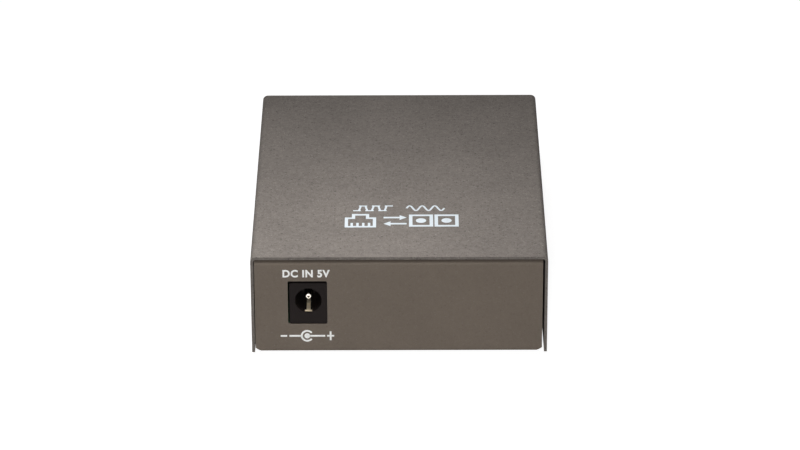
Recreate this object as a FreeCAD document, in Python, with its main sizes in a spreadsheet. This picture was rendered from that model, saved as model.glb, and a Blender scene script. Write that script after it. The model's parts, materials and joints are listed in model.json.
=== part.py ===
import FreeCAD, Part
import os
from types import SimpleNamespace

import Sketcher
from FreeCAD import Rotation, Vector

# Fibre media converter: a folded steel tray under a folded steel cover, with one circuit board inside.
# The rear wall (+Y) holds the DC power inlet, the front wall (-Y) the sockets, lamps and DIP switch.
# Millimetres. The origin is on the resting plane, under the middle of the case. +Z is up.

SIZES = {
    # case
    "case_width": 71.0,
    "case_depth": 94.5,
    "cover_height": 25.5,
    "cover_sheet": 0.7,
    "cover_bend": 1.3,
    "tray_sheet": 0.8,
    "tray_bend": 1.0,
    "skirt_drop": 0.05,
    "lid_gap": 0.5,
    "wall_gap_wide": 0.5,
    "wall_gap_narrow": 0.2,
    "wall_flange": 6.0,
    "corner_cut_width": 1.5,
    "corner_cut_height": 1.1,
    "side_flange_height": 6.85,
    "side_flange_inset": 9.0,
    "cutout_clearance": 0.2,
    "cutout_corner": 0.4,
    # vents in the skirts
    "vent_count": 7,
    "vent_pitch": 4.8,
    "vent_width": 1.8,
    "vent_length": 10.0,
    "vent_corner": 0.55,
    "vent_height": 16.0,
    # cover screws
    "screw_height": 5.0,
    "screw_end_inset": 19.25,
    "screw_radius": 1.45,
    "screw_length": 4.2,
    "thread_clearance": 0.05,
    "sink_clearance": 0.05,
    "boss_radius": 2.1,
    "boss_length": 1.0,
    # feet
    "foot_radius": 4.0,
    "foot_height": 1.45,
    "foot_inset": 8.75,
    # board and its fixings
    "standoff_height": 5.15,
    "standoff_corner": 2.89,
    "board_thickness": 1.6,
    "board_side_gap": 0.5,
    "board_front_gap": 0.85,
    "board_rear_gap": 0.65,
    "board_corner": 1.0,
    "fixing_side_inset": 3.2,
    "fixing_rear_inset": 4.8,
    "fixing_front_inset": 26.45,
    "fixing_hole_radius": 1.6,
    "fixing_head_radius": 2.75,
    "fixing_head_height": 1.7,
    "fixing_grip": 4.0,
    "lead_stub": 1.2,
    "lead_width_through": 0.5,
    # DC power inlet
    "dc_side_gap": 9.2,
    "dc_jack_width": 9.0,
    "dc_jack_height": 10.85,
    "dc_jack_depth": 14.0,
    "dc_jack_recess": 0.3,
    "dc_collar_depth": 3.4,
    "dc_bore_rise": 6.2,
    "dc_bore_radius": 3.2,
    "dc_bore_flat": 2.9,
    "dc_bore_depth": 9.8,
    "dc_key_width": 1.9,
    "dc_housing_radius": 4.2,
    "dc_gap_outer": 0.4,
    "dc_gap_inner": 0.05,
    "dc_gap_above": 0.65,
    "dc_gap_below": 0.1,
    "dc_pin_radius": 1.0,
    "dc_pin_recess": 2.0,
    "dc_pin_taper": 0.5,
    "dc_pin_clearance": 0.05,
    "dc_spring_recess": 1.0,
    "dc_spring_sheet": 0.25,
    "dc_spring_width": 0.95,
    "dc_spring_lip": 1.75,
    "dc_spring_rise": 0.5,
    "dc_tab_width": 2.2,
    "dc_tab_sheet": 0.3,
    # Ethernet socket
    "port_recess": 0.3,
    "eth_share": 0.3092,
    "eth_width": 15.9,
    "eth_height": 13.3,
    "eth_depth": 21.3,
    "eth_shield_sheet": 0.25,
    "eth_rim": 1.2,
    "eth_mouth_width": 11.9,
    "eth_mouth_height": 7.2,
    "eth_mouth_rise": 4.4,
    "eth_mouth_depth": 13.5,
    "eth_latch_width": 6.3,
    "eth_latch_drop": 2.6,
    "eth_contact_count": 8,
    "eth_contact_pitch": 1.02,
    "eth_contact_width": 0.35,
    "eth_contact_sheet": 0.3,
    "eth_contact_front": 3.5,
    "eth_contact_reach": 11.0,
    "eth_contact_drop": 2.6,
    "eth_tab_length": 1.6,
    # fibre transceiver
    "sc_share": 0.2673,
    "sc_width": 25.4,
    "sc_height": 11.6,
    "sc_depth": 44.0,
    "sc_nose_depth": 17.0,
    "sc_module_height": 9.8,
    "sc_port_pitch": 12.7,
    "sc_port_width": 9.1,
    "sc_port_height": 7.5,
    "sc_port_depth": 13.0,
    "sc_axis_rise": 5.4,
    "sc_key_width": 2.1,
    "sc_key_height": 0.9,
    "sc_sleeve_radius": 2.0,
    "sc_sleeve_bore": 1.26,
    "sc_sleeve_length": 8.0,
    "sc_arm_sheet": 0.7,
    "sc_arm_height": 3.6,
    "sc_arm_length": 7.4,
    "sc_arm_hook": 0.6,
    "sc_pin_count": 9,
    "sc_pin_pitch": 2.54,
    "sc_pin_inset": 3.0,
    "sc_stud_width": 1.4,
    "sc_stud_spacing": 20.3,
    "sc_stud_setback": 20.0,
    # lamps
    "led_share": 0.0545,
    "led_width": 2.8,
    "led_height": 1.8,
    "led_column_pitch": 4.2,
    "led_row_pitch": 4.2,
    "led_row_rise": 3.4,
    "led_row_count": 3,
    "led_margin": 2.1,
    "led_holder_gap": 1.2,
    "led_holder_depth": 6.0,
    "led_lead_pitch": 2.54,
    # DIP switch
    "dip_share": 0.1069,
    "dip_way_count": 4,
    "dip_pitch": 2.54,
    "dip_end": 0.8,
    "dip_height": 7.0,
    "dip_depth": 9.7,
    "dip_face_gap": 0.4,
    "dip_lever_width": 1.2,
    "dip_lever_height": 1.7,
    "dip_lever_depth": 1.5,
    "dip_lever_bevel": 0.3,
    "dip_travel": 1.6,
    "dip_clearance": 0.05,
    "dip_slot_rise": 3.8,
    "dip_window_margin": 0.8,
    # components on the board
    "transformer_offset": 3.6,
    "transformer_gap": 6.3,
    "transformer_width": 7.1,
    "transformer_length": 12.7,
    "transformer_height": 5.2,
    "transformer_lead_count": 8,
    "transformer_pitch": 1.27,
    "chip_x": 0.0,
    "chip_share": 0.307,
    "chip_width": 10.0,
    "chip_height": 1.4,
    "chip_lead_count": 10,
    "chip_pitch": 0.8,
    "memory_x": -18.0,
    "memory_share": 0.307,
    "memory_width": 3.9,
    "memory_length": 4.9,
    "memory_height": 1.4,
    "memory_lead_count": 4,
    "memory_pitch": 1.27,
    "lead_sheet": 0.2,
    "lead_width": 0.3,
    "lead_foot": 0.6,
    "lead_reach": 1.1,
    "package_standoff": 0.1,
    "package_edge": 0.3,
    "crystal_x": -20.0,
    "crystal_share": 0.081,
    "crystal_length": 11.4,
    "crystal_width": 4.7,
    "crystal_height": 3.5,
    "regulator_x": 10.5,
    "regulator_share": 0.696,
    "regulator_length": 6.5,
    "regulator_width": 3.5,
    "regulator_height": 1.6,
    "regulator_lead_count": 3,
    "regulator_pitch": 2.3,
    "regulator_tab": 3.0,
    "inductor_x": 0.0,
    "inductor_share": 0.737,
    "inductor_width": 7.3,
    "inductor_base_height": 0.8,
    "inductor_radius": 3.3,
    "inductor_height": 3.6,
    "capacitor_x": -9.5,
    "capacitor_share": 0.799,
    "capacitor_pitch": 10.0,
    "capacitor_radius": 4.0,
    "capacitor_height": 12.0,
    "fuse_gap": 2.55,
    "fuse_share": 0.902,
    "fuse_length": 4.5,
    "fuse_width": 3.2,
    "fuse_height": 1.2,
    "small_count": 7,
    "small_pitch": 3.2,
    "ceramic_length": 2.0,
    "ceramic_width": 1.25,
    "ceramic_height": 0.9,
    "ceramic_share": 0.532,
    "resistor_length": 1.6,
    "resistor_width": 0.8,
    "resistor_height": 0.45,
    "resistor_share": 0.594,
}


class Size:
    """A length that carries both its number and the sheet expression that gives it."""

    def __init__(self, text, value):
        self.text = text
        self.value = value

    def __add__(self, other):
        other = as_size(other)
        return Size(f"({self.text} + {other.text})", self.value + other.value)

    def __sub__(self, other):
        other = as_size(other)
        return Size(f"({self.text} - {other.text})", self.value - other.value)

    def __mul__(self, factor):
        factor = as_size(factor)
        return Size(f"({self.text} * {factor.text})", self.value * factor.value)

    def __truediv__(self, divisor):
        return Size(f"({self.text} / {divisor})", self.value / divisor)

    def __neg__(self):
        return Size(f"(0 - {self.text})", -self.value)


def as_size(length):
    return length if isinstance(length, Size) else Size(f"({length})", length)


def make_sheet(doc):
    """Write every driving size into the spreadsheet and return them as Size values."""
    sheet = doc.addObject("Spreadsheet::Sheet", "Sizes")
    for row, (name, value) in enumerate(SIZES.items(), start=1):
        sheet.set(f"A{row}", name)
        sheet.set(f"B{row}", str(value))
        sheet.setAlias(f"B{row}", name)
    doc.recompute()
    return SimpleNamespace(**{name: Size(f"Sizes.{name}", value) for name, value in SIZES.items()})


doc = FreeCAD.newDocument("media_converter")
s = make_sheet(doc)
ZERO = as_size(0)

# Levels, from the resting plane upwards
base_bottom = s.foot_height
base_top = base_bottom + s.tray_sheet
skirt_bottom = base_bottom - s.skirt_drop
cover_top = skirt_bottom + s.cover_height
cover_under = cover_top - s.cover_sheet
wall_top = cover_under - s.lid_gap
board_bottom = base_top + s.standoff_height
board_top = board_bottom + s.board_thickness
lead_bottom = board_bottom - s.lead_stub

# Faces of the case
half_width = s.case_width / 2
half_depth = s.case_depth / 2
screw_y = half_depth - s.screw_end_inset
screw_head_height = s.cover_sheet + s.wall_gap_narrow - s.thread_clearance
screw_head_radius = s.screw_radius + screw_head_height
skirt_inner = half_width - s.cover_sheet
tray_edge = {1: skirt_inner - s.wall_gap_narrow, -1: s.wall_gap_wide - skirt_inner}
wall_inner = half_depth - s.tray_sheet
board_half_width = skirt_inner - s.wall_gap_wide - s.tray_sheet - s.board_side_gap
fixing_x = board_half_width - s.fixing_side_inset
board_front = s.board_front_gap - wall_inner
board_rear = wall_inner - s.board_rear_gap
fixing_front_y = s.fixing_front_inset - wall_inner
fixing_rear_y = board_rear - s.fixing_rear_inset

# Power inlet
dc_middle = half_width - s.dc_side_gap - s.dc_jack_width / 2
dc_face = half_depth - s.dc_jack_recess
dc_bore_z = board_top + s.dc_bore_rise
dc_rear = dc_face - s.dc_jack_depth
dc_bore_end = dc_face - s.dc_bore_depth

# Along the front, the width that the sockets leave spare is shared out between them
dip_width = s.dip_pitch * SIZES["dip_way_count"] + s.dip_end * 2
led_holder_width = s.led_column_pitch + s.led_margin * 2
spare_width = s.case_width - s.eth_width - s.sc_width - dip_width - led_holder_width
eth_middle = half_width - spare_width * s.eth_share - s.eth_width / 2
sc_middle = eth_middle - s.eth_width / 2 - spare_width * s.sc_share - s.sc_width / 2
dip_middle = sc_middle - s.sc_width / 2 - spare_width * s.dip_share - dip_width / 2
led_middle = dip_middle - dip_width / 2 - spare_width * s.led_share - led_holder_width / 2

# Sockets at the front
port_face = s.port_recess - half_depth
eth_rear = port_face + s.eth_depth
eth_floor = board_top + s.eth_mouth_rise
eth_ceiling = eth_floor + s.eth_mouth_height
eth_mouth_end = port_face + s.eth_mouth_depth
sc_rear = port_face + s.sc_depth
sc_axis_z = board_top + s.sc_axis_rise
sc_port_end = port_face + s.sc_port_depth
sc_pin_y = sc_rear - s.sc_pin_inset
sc_stud_y = port_face + s.sc_stud_setback

# Lamps and DIP switch
led_holder_face = s.led_holder_gap - wall_inner
led_top = board_top + s.led_row_rise + s.led_row_pitch * (SIZES["led_row_count"] - 1)
dip_face = s.dip_face_gap - wall_inner
dip_slot_z = board_top + s.dip_slot_rise
dip_slot_half = (s.dip_lever_height + s.dip_travel) / 2 + s.dip_clearance

# On the board, the bay between the transceiver and the rear edge is shared out between the rows of parts
transformer_x = eth_middle - s.transformer_offset
transformer_y = eth_rear + s.transformer_gap + s.transformer_length / 2
bay = board_rear - sc_rear
crystal_y = sc_rear + bay * s.crystal_share
chip_y = sc_rear + bay * s.chip_share
memory_y = sc_rear + bay * s.memory_share
ceramic_y = sc_rear + bay * s.ceramic_share
resistor_y = sc_rear + bay * s.resistor_share
regulator_y = sc_rear + bay * s.regulator_share
inductor_y = sc_rear + bay * s.inductor_share
capacitor_y = sc_rear + bay * s.capacitor_share
fuse_x = dc_middle - s.dc_jack_width / 2 - s.fuse_gap - s.fuse_length / 2
fuse_y = sc_rear + bay * s.fuse_share


# ---------------------------------------------------------------- drawing helpers

TURN = {
    "x": Rotation(Vector(0, 1, 0), 90),
    "-x": Rotation(Vector(0, 1, 0), -90),
    "y": Rotation(Vector(1, 0, 0), -90),
    "z": Rotation(),
}


def bind(thing, prop, length):
    thing.setExpression(prop, as_size(length).text)


def place(thing, centre):
    for axis, length in zip("xyz", centre):
        bind(thing, f"Placement.Base.{axis}", length)


def around(middle, width):
    """The low and high end of a width centred on a place."""
    return (as_size(middle) - as_size(width) / 2, as_size(middle) + as_size(width) / 2)


def box(name, x, y, z):
    """A block between the low and high ends given for each axis."""
    block = doc.addObject("Part::Box", name)
    for prop, (low, high) in zip(("Length", "Width", "Height"), (x, y, z)):
        bind(block, prop, high - low)
    place(block, (x[0], y[0], z[0]))
    return block


def cylinder(name, foot, radius, length, axis="z"):
    rod = doc.addObject("Part::Cylinder", name)
    rod.Placement.Rotation = TURN[axis]
    bind(rod, "Radius", radius)
    bind(rod, "Height", length)
    place(rod, foot)
    return rod


def cone(name, foot, radius_1, radius_2, length, axis="z"):
    taper = doc.addObject("Part::Cone", name)
    taper.Placement.Rotation = TURN[axis]
    bind(taper, "Radius1", radius_1)
    bind(taper, "Radius2", radius_2)
    bind(taper, "Height", length)
    place(taper, foot)
    return taper


def hexagon(name, foot, corner_radius, length):
    prism = doc.addObject("Part::Prism", name)
    prism.Polygon = 6
    bind(prism, "Circumradius", corner_radius)
    bind(prism, "Height", length)
    place(prism, foot)
    return prism


def fuse(name, pieces):
    joined = doc.addObject("Part::MultiFuse", name)
    joined.Shapes = pieces
    joined.Refine = True
    return joined


def cut(name, base, tools):
    left = doc.addObject("Part::Cut", name)
    left.Base = base
    left.Tool = tools[0] if len(tools) == 1 else group(f"{name}_tools", tools)
    return left


def group(name, pieces):
    """Separate solids kept together in one object."""
    gathered = doc.addObject("Part::Compound", name)
    gathered.Links = pieces
    return gathered


def body(name):
    return doc.addObject("PartDesign::Body", name)


def role(owner, name):
    return [f for f in owner.Origin.OriginFeatures if f.Role == name][0]


def sketch(owner, plane, level=ZERO):
    """A sketch on the body's own origin plane, lifted along its normal: XY up, XZ to -Y, YZ to +X."""
    drawing = owner.newObject("Sketcher::SketchObject", f"{owner.Name}_sketch")
    drawing.AttachmentSupport = [(role(owner, f"{plane}_Plane"), "")]
    drawing.MapMode = "FlatFace"
    bind(drawing, "AttachmentOffset.Base.z", level)
    return drawing


def dimension(drawing, kind, *where, length):
    index = drawing.addConstraint(Sketcher.Constraint(kind, *where, length.value))
    drawing.setExpression(f"Constraints[{index}]", length.text)


def polygon(drawing, points):
    """A closed outline with each corner dimensioned from the sketch's origin."""
    points = [(as_size(u), as_size(v)) for u, v in points]
    count = len(points)
    lines = []
    for i in range(count):
        (u0, v0), (u1, v1) = points[i], points[(i + 1) % count]
        side = Part.LineSegment(Vector(u0.value, v0.value, 0), Vector(u1.value, v1.value, 0))
        lines.append(drawing.addGeometry(side, False))
    for i in range(count):
        drawing.addConstraint(Sketcher.Constraint("Coincident", lines[i], 2, lines[(i + 1) % count], 1))
        dimension(drawing, "DistanceX", -1, 1, lines[i], 1, length=points[i][0])
        dimension(drawing, "DistanceY", -1, 1, lines[i], 1, length=points[i][1])


def rectangle(drawing, u, v):
    polygon(drawing, [(u[0], v[0]), (u[1], v[0]), (u[1], v[1]), (u[0], v[1])])


def circle(drawing, u, v, radius):
    u, v = as_size(u), as_size(v)
    curve = Part.Circle(Vector(u.value, v.value, 0), Vector(0, 0, 1), radius.value)
    ring = drawing.addGeometry(curve, False)
    dimension(drawing, "DistanceX", -1, 1, ring, 3, length=u)
    dimension(drawing, "DistanceY", -1, 1, ring, 3, length=v)
    dimension(drawing, "Radius", ring, length=radius)


def slot(drawing, u, v, width, length, corner):
    """An upright slot with its four corners cut off."""
    (left, right), (low, high) = around(u, width), around(v, length)
    polygon(drawing, [
        (left, low + corner), (left, high - corner), (left + corner, high), (right - corner, high),
        (right, high - corner), (right, low + corner), (right - corner, low), (left + corner, low)])


def pad(owner, drawing, length, symmetric=False):
    solid = owner.newObject("PartDesign::Pad", f"{drawing.Name}_pad")
    solid.Profile = drawing
    solid.SideType = "Symmetric" if symmetric else "One side"
    bind(solid, "Length", length)
    return solid


def pocket(owner, drawing, length, forward=False, symmetric=False):
    """Cut against the sketch's normal, or along it when forward is set, and make sure that it cuts."""
    doc.recompute()
    before = owner.Shape.Volume
    hole = owner.newObject("PartDesign::Pocket", f"{drawing.Name}_pocket")
    hole.Profile = drawing
    hole.SideType = "Symmetric" if symmetric else "One side"
    hole.Reversed = forward
    bind(hole, "Length", length)
    doc.recompute()
    if owner.Shape.Volume >= before:
        raise ValueError(f"{hole.Name} cuts nothing")
    return hole


def fillet(owner, radius, pick):
    doc.recompute()
    base = owner.Tip
    names = [f"Edge{i}" for i, edge in enumerate(base.Shape.Edges, start=1) if pick(edge)]
    soft = owner.newObject("PartDesign::Fillet", f"{owner.Name}_fillet")
    soft.Base = (base, names)
    bind(soft, "Radius", radius)
    return soft


def chamfer(owner, width, pick):
    doc.recompute()
    base = owner.Tip
    names = [f"Edge{i}" for i, edge in enumerate(base.Shape.Edges, start=1) if pick(edge)]
    bevel = owner.newObject("PartDesign::Chamfer", f"{owner.Name}_chamfer")
    bevel.Base = (base, names)
    bind(bevel, "Size", width)
    return bevel


def at_level(axis, level):
    """Pick the edges that lie wholly at one place along an axis."""
    def pick(edge):
        low = getattr(edge.BoundBox, f"{axis.upper()}Min")
        high = getattr(edge.BoundBox, f"{axis.upper()}Max")
        return abs(low - level.value) < 0.01 and abs(high - level.value) < 0.01
    return pick


def straight(edge, axis):
    """Whether an edge is a line along the axis."""
    if edge.Curve.TypeId != "Part::GeomLine":
        return False
    return abs(getattr(edge.Curve.Direction, axis)) > 0.999


def along(axis, **places):
    """Pick lines along an axis whose other coordinates lie at one of the given places."""
    def pick(edge):
        middle = edge.CenterOfMass
        return straight(edge, axis) and all(
            any(abs(getattr(middle, name) - as_size(at).value) < 0.01 for at in ats)
            for name, ats in places.items())
    return pick


def row_of(count, pitch):
    """Offsets of evenly spaced places about a middle."""
    return [pitch * (i - (count - 1) / 2) for i in range(count)]


# ---------------------------------------------------------------- case

def make_cover():
    """The folded U: top and two skirts, with vents and countersunk screw holes."""
    cover = body("cover")
    outline = sketch(cover, "XZ")
    polygon(outline, [
        (-half_width, skirt_bottom), (-half_width, cover_top), (half_width, cover_top),
        (half_width, skirt_bottom), (skirt_inner, skirt_bottom), (skirt_inner, cover_under),
        (-skirt_inner, cover_under), (-skirt_inner, skirt_bottom)])
    pad(cover, outline, s.case_depth, symmetric=True)
    fillet(cover, s.cover_bend, along("y", x=(half_width, -half_width), z=(cover_top,)))
    fillet(cover, s.cover_bend - s.cover_sheet, along("y", x=(skirt_inner, -skirt_inner), z=(cover_under,)))

    row = s.vent_pitch * (SIZES["vent_count"] - 1)
    vent = sketch(cover, "YZ")
    slot(vent, -row / 2, s.vent_height, s.vent_width, s.vent_length, s.vent_corner)
    first = pocket(cover, vent, s.case_width * 2, symmetric=True)
    vents = cover.newObject("PartDesign::LinearPattern", "cover_vents")
    vents.Originals = [first]
    vents.Direction = (vent, ["H_Axis"])
    bind(vents, "Length", row)
    bind(vents, "Occurrences", s.vent_count)
    cover.Tip = vents

    marks = sketch(cover, "YZ", half_width)
    for side in (-1, 1):
        circle(marks, screw_y * side, s.screw_height, s.screw_radius)
    doc.recompute()
    holes = cover.newObject("PartDesign::Hole", "cover_screw_holes")
    holes.Profile = marks
    holes.ThreadType = "None"
    holes.DepthType = "Dimension"
    holes.DrillPoint = "Flat"
    holes.HoleCutType = "Countersink"
    holes.HoleCutCustomValues = True
    holes.HoleCutCountersinkAngle = 90
    bind(holes, "Depth", s.cover_sheet * 2)
    bind(holes, "Diameter", (s.screw_radius + s.sink_clearance) * 2)
    bind(holes, "HoleCutDiameter", (screw_head_radius + s.sink_clearance) * 2)
    mirrored = cover.newObject("PartDesign::Mirrored", "cover_screw_holes_mirrored")
    mirrored.Originals = [holes]
    mirrored.MirrorPlane = (role(cover, "YZ_Plane"), [""])
    cover.Tip = mirrored
    return cover


def make_tray():
    """The folded bottom with its front and rear walls, lips and side flanges."""
    tray = body("base_tray")
    lip = half_depth - s.wall_flange
    sheet = s.tray_sheet
    outline = sketch(tray, "YZ", tray_edge[-1])
    polygon(outline, [
        (-lip, wall_top), (-half_depth, wall_top), (-half_depth, base_bottom), (half_depth, base_bottom),
        (half_depth, wall_top), (lip, wall_top), (lip, wall_top - sheet), (wall_inner, wall_top - sheet),
        (wall_inner, base_top), (-wall_inner, base_top), (-wall_inner, wall_top - sheet),
        (-lip, wall_top - sheet)])
    pad(tray, outline, tray_edge[1] - tray_edge[-1])
    fillet(tray, s.tray_bend, along("x", y=(half_depth, -half_depth), z=(base_bottom, wall_top)))
    inner_levels = (base_top, wall_top - sheet)
    fillet(tray, s.tray_bend - sheet, along("x", y=(wall_inner, -wall_inner), z=inner_levels))

    corners = sketch(tray, "XZ")
    strips = sketch(tray, "XY", base_top)
    for side in (-1, 1):
        edge = tray_edge[side]
        cut_x = edge - s.corner_cut_width * side
        beyond = edge + s.corner_cut_width * side
        cut_z = base_bottom + s.corner_cut_height
        below = base_bottom - sheet
        polygon(corners, [
            (cut_x, base_bottom), (cut_x, below), (beyond, below), (beyond, cut_z), (edge, cut_z)])
        strip = (cut_x, beyond) if side > 0 else (beyond, cut_x)
        rectangle(strips, strip, (s.tray_bend - half_depth, half_depth - s.tray_bend))
    pocket(tray, corners, s.case_depth * 2, symmetric=True)
    pocket(tray, strips, sheet * 2)

    length = s.case_depth - s.side_flange_inset * 2
    for side in (-1, 1):
        edge = tray_edge[side]
        inner = edge - sheet * side
        root = edge - s.corner_cut_width * side
        flange_top = base_bottom + s.side_flange_height
        fold = sketch(tray, "XZ")
        polygon(fold, [
            (root, base_bottom), (edge, base_bottom), (edge, flange_top), (inner, flange_top),
            (inner, base_top), (root, base_top)])
        pad(tray, fold, length, symmetric=True)
        fillet(tray, s.tray_bend, along("y", x=(edge,), z=(base_bottom,)))
        fillet(tray, s.tray_bend - sheet, along("y", x=(inner,), z=(base_top,)))

    boss_holes = sketch(tray, "YZ")
    for side in (-1, 1):
        bosses = sketch(tray, "YZ", tray_edge[side] - sheet * side)
        for end in (-1, 1):
            place_y = screw_y * end
            circle(bosses, place_y, s.screw_height, s.boss_radius)
            if side > 0:
                circle(boss_holes, place_y, s.screw_height, s.screw_radius + s.thread_clearance)
        boss = pad(tray, bosses, s.boss_length)
        boss.Reversed = side > 0
    pocket(tray, boss_holes, s.case_width * 2, symmetric=True)

    inlet = sketch(tray, "XZ")
    inlet_x = (dc_middle - s.dc_jack_width / 2 - s.dc_gap_inner,
               dc_middle + s.dc_jack_width / 2 + s.dc_gap_outer)
    inlet_z = (board_top - s.dc_gap_below, board_top + s.dc_jack_height + s.dc_gap_above)
    rectangle(inlet, inlet_x, inlet_z)
    pocket(tray, inlet, s.case_depth)

    ports = sketch(tray, "XZ")
    gap = s.cutout_clearance
    eth_x = around(eth_middle, s.eth_width + gap * 2)
    eth_z = (board_top - gap, board_top + s.eth_height + gap)
    sc_x = around(sc_middle, s.sc_width + gap * 2)
    sc_z = (board_top - gap, board_top + s.sc_height + gap)
    dip_x = around(dip_middle, s.dip_pitch * SIZES["dip_way_count"])
    window = dip_slot_half + s.dip_window_margin
    dip_z = (dip_slot_z - window, dip_slot_z + window)
    rectangle(ports, eth_x, eth_z)
    rectangle(ports, sc_x, sc_z)
    rectangle(ports, dip_x, dip_z)
    for x, z in led_places():
        rectangle(ports, widened(around(x, s.led_width)), widened(around(z, s.led_height)))
    pocket(tray, ports, s.case_depth, forward=True)
    fillet(tray, s.cutout_corner, along("y", x=inlet_x, z=inlet_z))
    return tray


def make_cover_screws():
    """Four countersunk screws, flush with the skirts."""
    screws = []
    for side, inward in ((-1, "x"), (1, "-x")):
        for end in (-1, 1):
            name = f"cover_screw_{len(screws) + 1}"
            y = screw_y * end
            outer = half_width * side
            head = cone(f"{name}_head", (outer, y, s.screw_height), screw_head_radius, s.screw_radius,
                        screw_head_height, inward)
            shank = cylinder(f"{name}_shank", (outer - screw_head_height * side, y, s.screw_height),
                             s.screw_radius, s.screw_length - screw_head_height, inward)
            screws.append(fuse(name, [head, shank]))
    return group("cover_screws", screws)


def make_feet():
    """Four low round rubber feet."""
    feet = []
    for side_x in (-1, 1):
        for side_y in (-1, 1):
            foot = ((half_width - s.foot_inset) * side_x, (half_depth - s.foot_inset) * side_y, ZERO)
            feet.append(cylinder(f"foot_{len(feet) + 1}", foot, s.foot_radius, s.foot_height))
    return group("rubber_feet", feet)


# ---------------------------------------------------------------- board and its fixings

def fixing_places():
    return [(fixing_x * side, y) for side in (-1, 1) for y in (fixing_front_y, fixing_rear_y)]


def led_places():
    """Middle of each lamp, seen along the front wall's normal."""
    return [(led_middle + offset, board_top + s.led_row_rise + s.led_row_pitch * row)
            for offset in row_of(2, s.led_column_pitch) for row in range(SIZES["led_row_count"])]


def eth_lead_places():
    """Two staggered rows of leads behind the socket's mouth."""
    places = []
    for i, offset in enumerate(row_of(SIZES["eth_contact_count"], s.eth_contact_pitch)):
        places.append((eth_middle + offset, eth_rear - s.led_lead_pitch * (1 + i % 2)))
    return places


def eth_tab_places():
    """Middle of each shield tab: they carry on down from the shield's side walls."""
    reach = (s.eth_width - s.eth_shield_sheet) / 2
    return [(eth_middle + reach * side, port_face + s.eth_depth / 2) for side in (-1, 1)]


def sc_pin_places():
    return [(sc_middle + offset, sc_pin_y) for offset in row_of(SIZES["sc_pin_count"], s.sc_pin_pitch)]


def sc_stud_places():
    return [(sc_middle + s.sc_stud_spacing / 2 * side, sc_stud_y) for side in (-1, 1)]


def led_lead_places():
    """Two leads under each lamp, one row of lamps behind the other."""
    places = []
    for column in row_of(2, s.led_column_pitch):
        for offset in row_of(2, s.led_lead_pitch / 2):
            for i in range(SIZES["led_row_count"]):
                y = led_holder_face + s.led_holder_depth * ((i + 1) / (SIZES["led_row_count"] + 1))
                places.append((led_middle + column + offset, y))
    return places


def dip_pin_places():
    return [(dip_middle + offset, dip_face + s.dip_depth / 2 + row)
            for offset in row_of(SIZES["dip_way_count"], s.dip_pitch) for row in row_of(2, s.dip_pitch)]


def dc_tabs():
    """The inlet's three solder tabs as (x range, y range): pin, sleeve spring and switch."""
    wide, thin = s.dc_tab_width, s.dc_tab_sheet
    rear = (around(dc_middle, wide), (dc_rear - thin, dc_rear))
    middle = (around(dc_middle, wide), around(dc_bore_end + s.dc_collar_depth, thin))
    side = ((dc_middle - s.dc_jack_width / 2 + thin, dc_middle - s.dc_jack_width / 2 + thin * 2),
            around(dc_bore_end + s.dc_collar_depth, wide))
    return [rear, middle, side]


def make_board():
    """The drilled circuit board."""
    board = body("circuit_board")
    outline = sketch(board, "XY", board_bottom)
    rectangle(outline, (-board_half_width, board_half_width), (board_front, board_rear))
    pad(board, outline, s.board_thickness)
    sides, ends = (-board_half_width, board_half_width), (board_front, board_rear)
    fillet(board, s.board_corner, along("z", x=sides, y=ends))

    drills = sketch(board, "XY", board_top)
    for x, y in fixing_places():
        circle(drills, x, y, s.fixing_hole_radius)
    pocket(board, drills, s.board_thickness * 2)
    for places in (eth_lead_places(), sc_pin_places(), led_lead_places(), dip_pin_places()):
        square_drills = sketch(board, "XY", board_top)
        for x, y in places:
            square_hole(square_drills, x, y, s.lead_width_through)
        pocket(board, square_drills, s.board_thickness * 2)
    slots = sketch(board, "XY", board_top)
    for x, y in sc_stud_places():
        square_hole(slots, x, y, s.sc_stud_width)
    for x, y in dc_tabs():
        rectangle(slots, widened(x), widened(y))
    for x, y in eth_tab_places():
        rectangle(slots, widened(around(x, s.eth_shield_sheet)), widened(around(y, s.eth_tab_length)))
    pocket(board, slots, s.board_thickness * 2)
    return board


def widened(ends):
    """A slot's ends round a tab's ends."""
    return (ends[0] - s.cutout_clearance, ends[1] + s.cutout_clearance)


def square_hole(drawing, x, y, width):
    rectangle(drawing, widened(around(x, width)), widened(around(y, width)))


def lead_row(name, places):
    """Square leads from the board's top through it, one at each place."""
    return [box(f"{name}_{i}", around(x, s.lead_width_through), around(y, s.lead_width_through),
                (lead_bottom, board_top)) for i, (x, y) in enumerate(places)]


def make_standoffs():
    """Hexagonal standoffs between the tray and the board, bored for their screws."""
    standoffs = []
    for i, (x, y) in enumerate(fixing_places(), start=1):
        prism = hexagon(f"standoff_{i}_prism", (x, y, base_top), s.standoff_corner, s.standoff_height)
        bore = cylinder(f"standoff_{i}_bore", (x, y, base_top), s.screw_radius + s.thread_clearance,
                        s.standoff_height)
        standoffs.append(cut(f"standoff_{i}", prism, [bore]))
    return group("board_standoffs", standoffs)


def make_board_screws():
    """Screws with hexagonal heads through the board into the standoffs."""
    screws = []
    for i, (x, y) in enumerate(fixing_places(), start=1):
        shank = cylinder(f"board_screw_{i}_shank", (x, y, board_top - s.fixing_grip), s.screw_radius,
                         s.fixing_grip)
        head = hexagon(f"board_screw_{i}_head", (x, y, board_top), s.fixing_head_radius,
                       s.fixing_head_height)
        screws.append(fuse(f"board_screw_{i}", [shank, head]))
    return group("board_screws", screws)


# ---------------------------------------------------------------- DC power inlet

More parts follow.
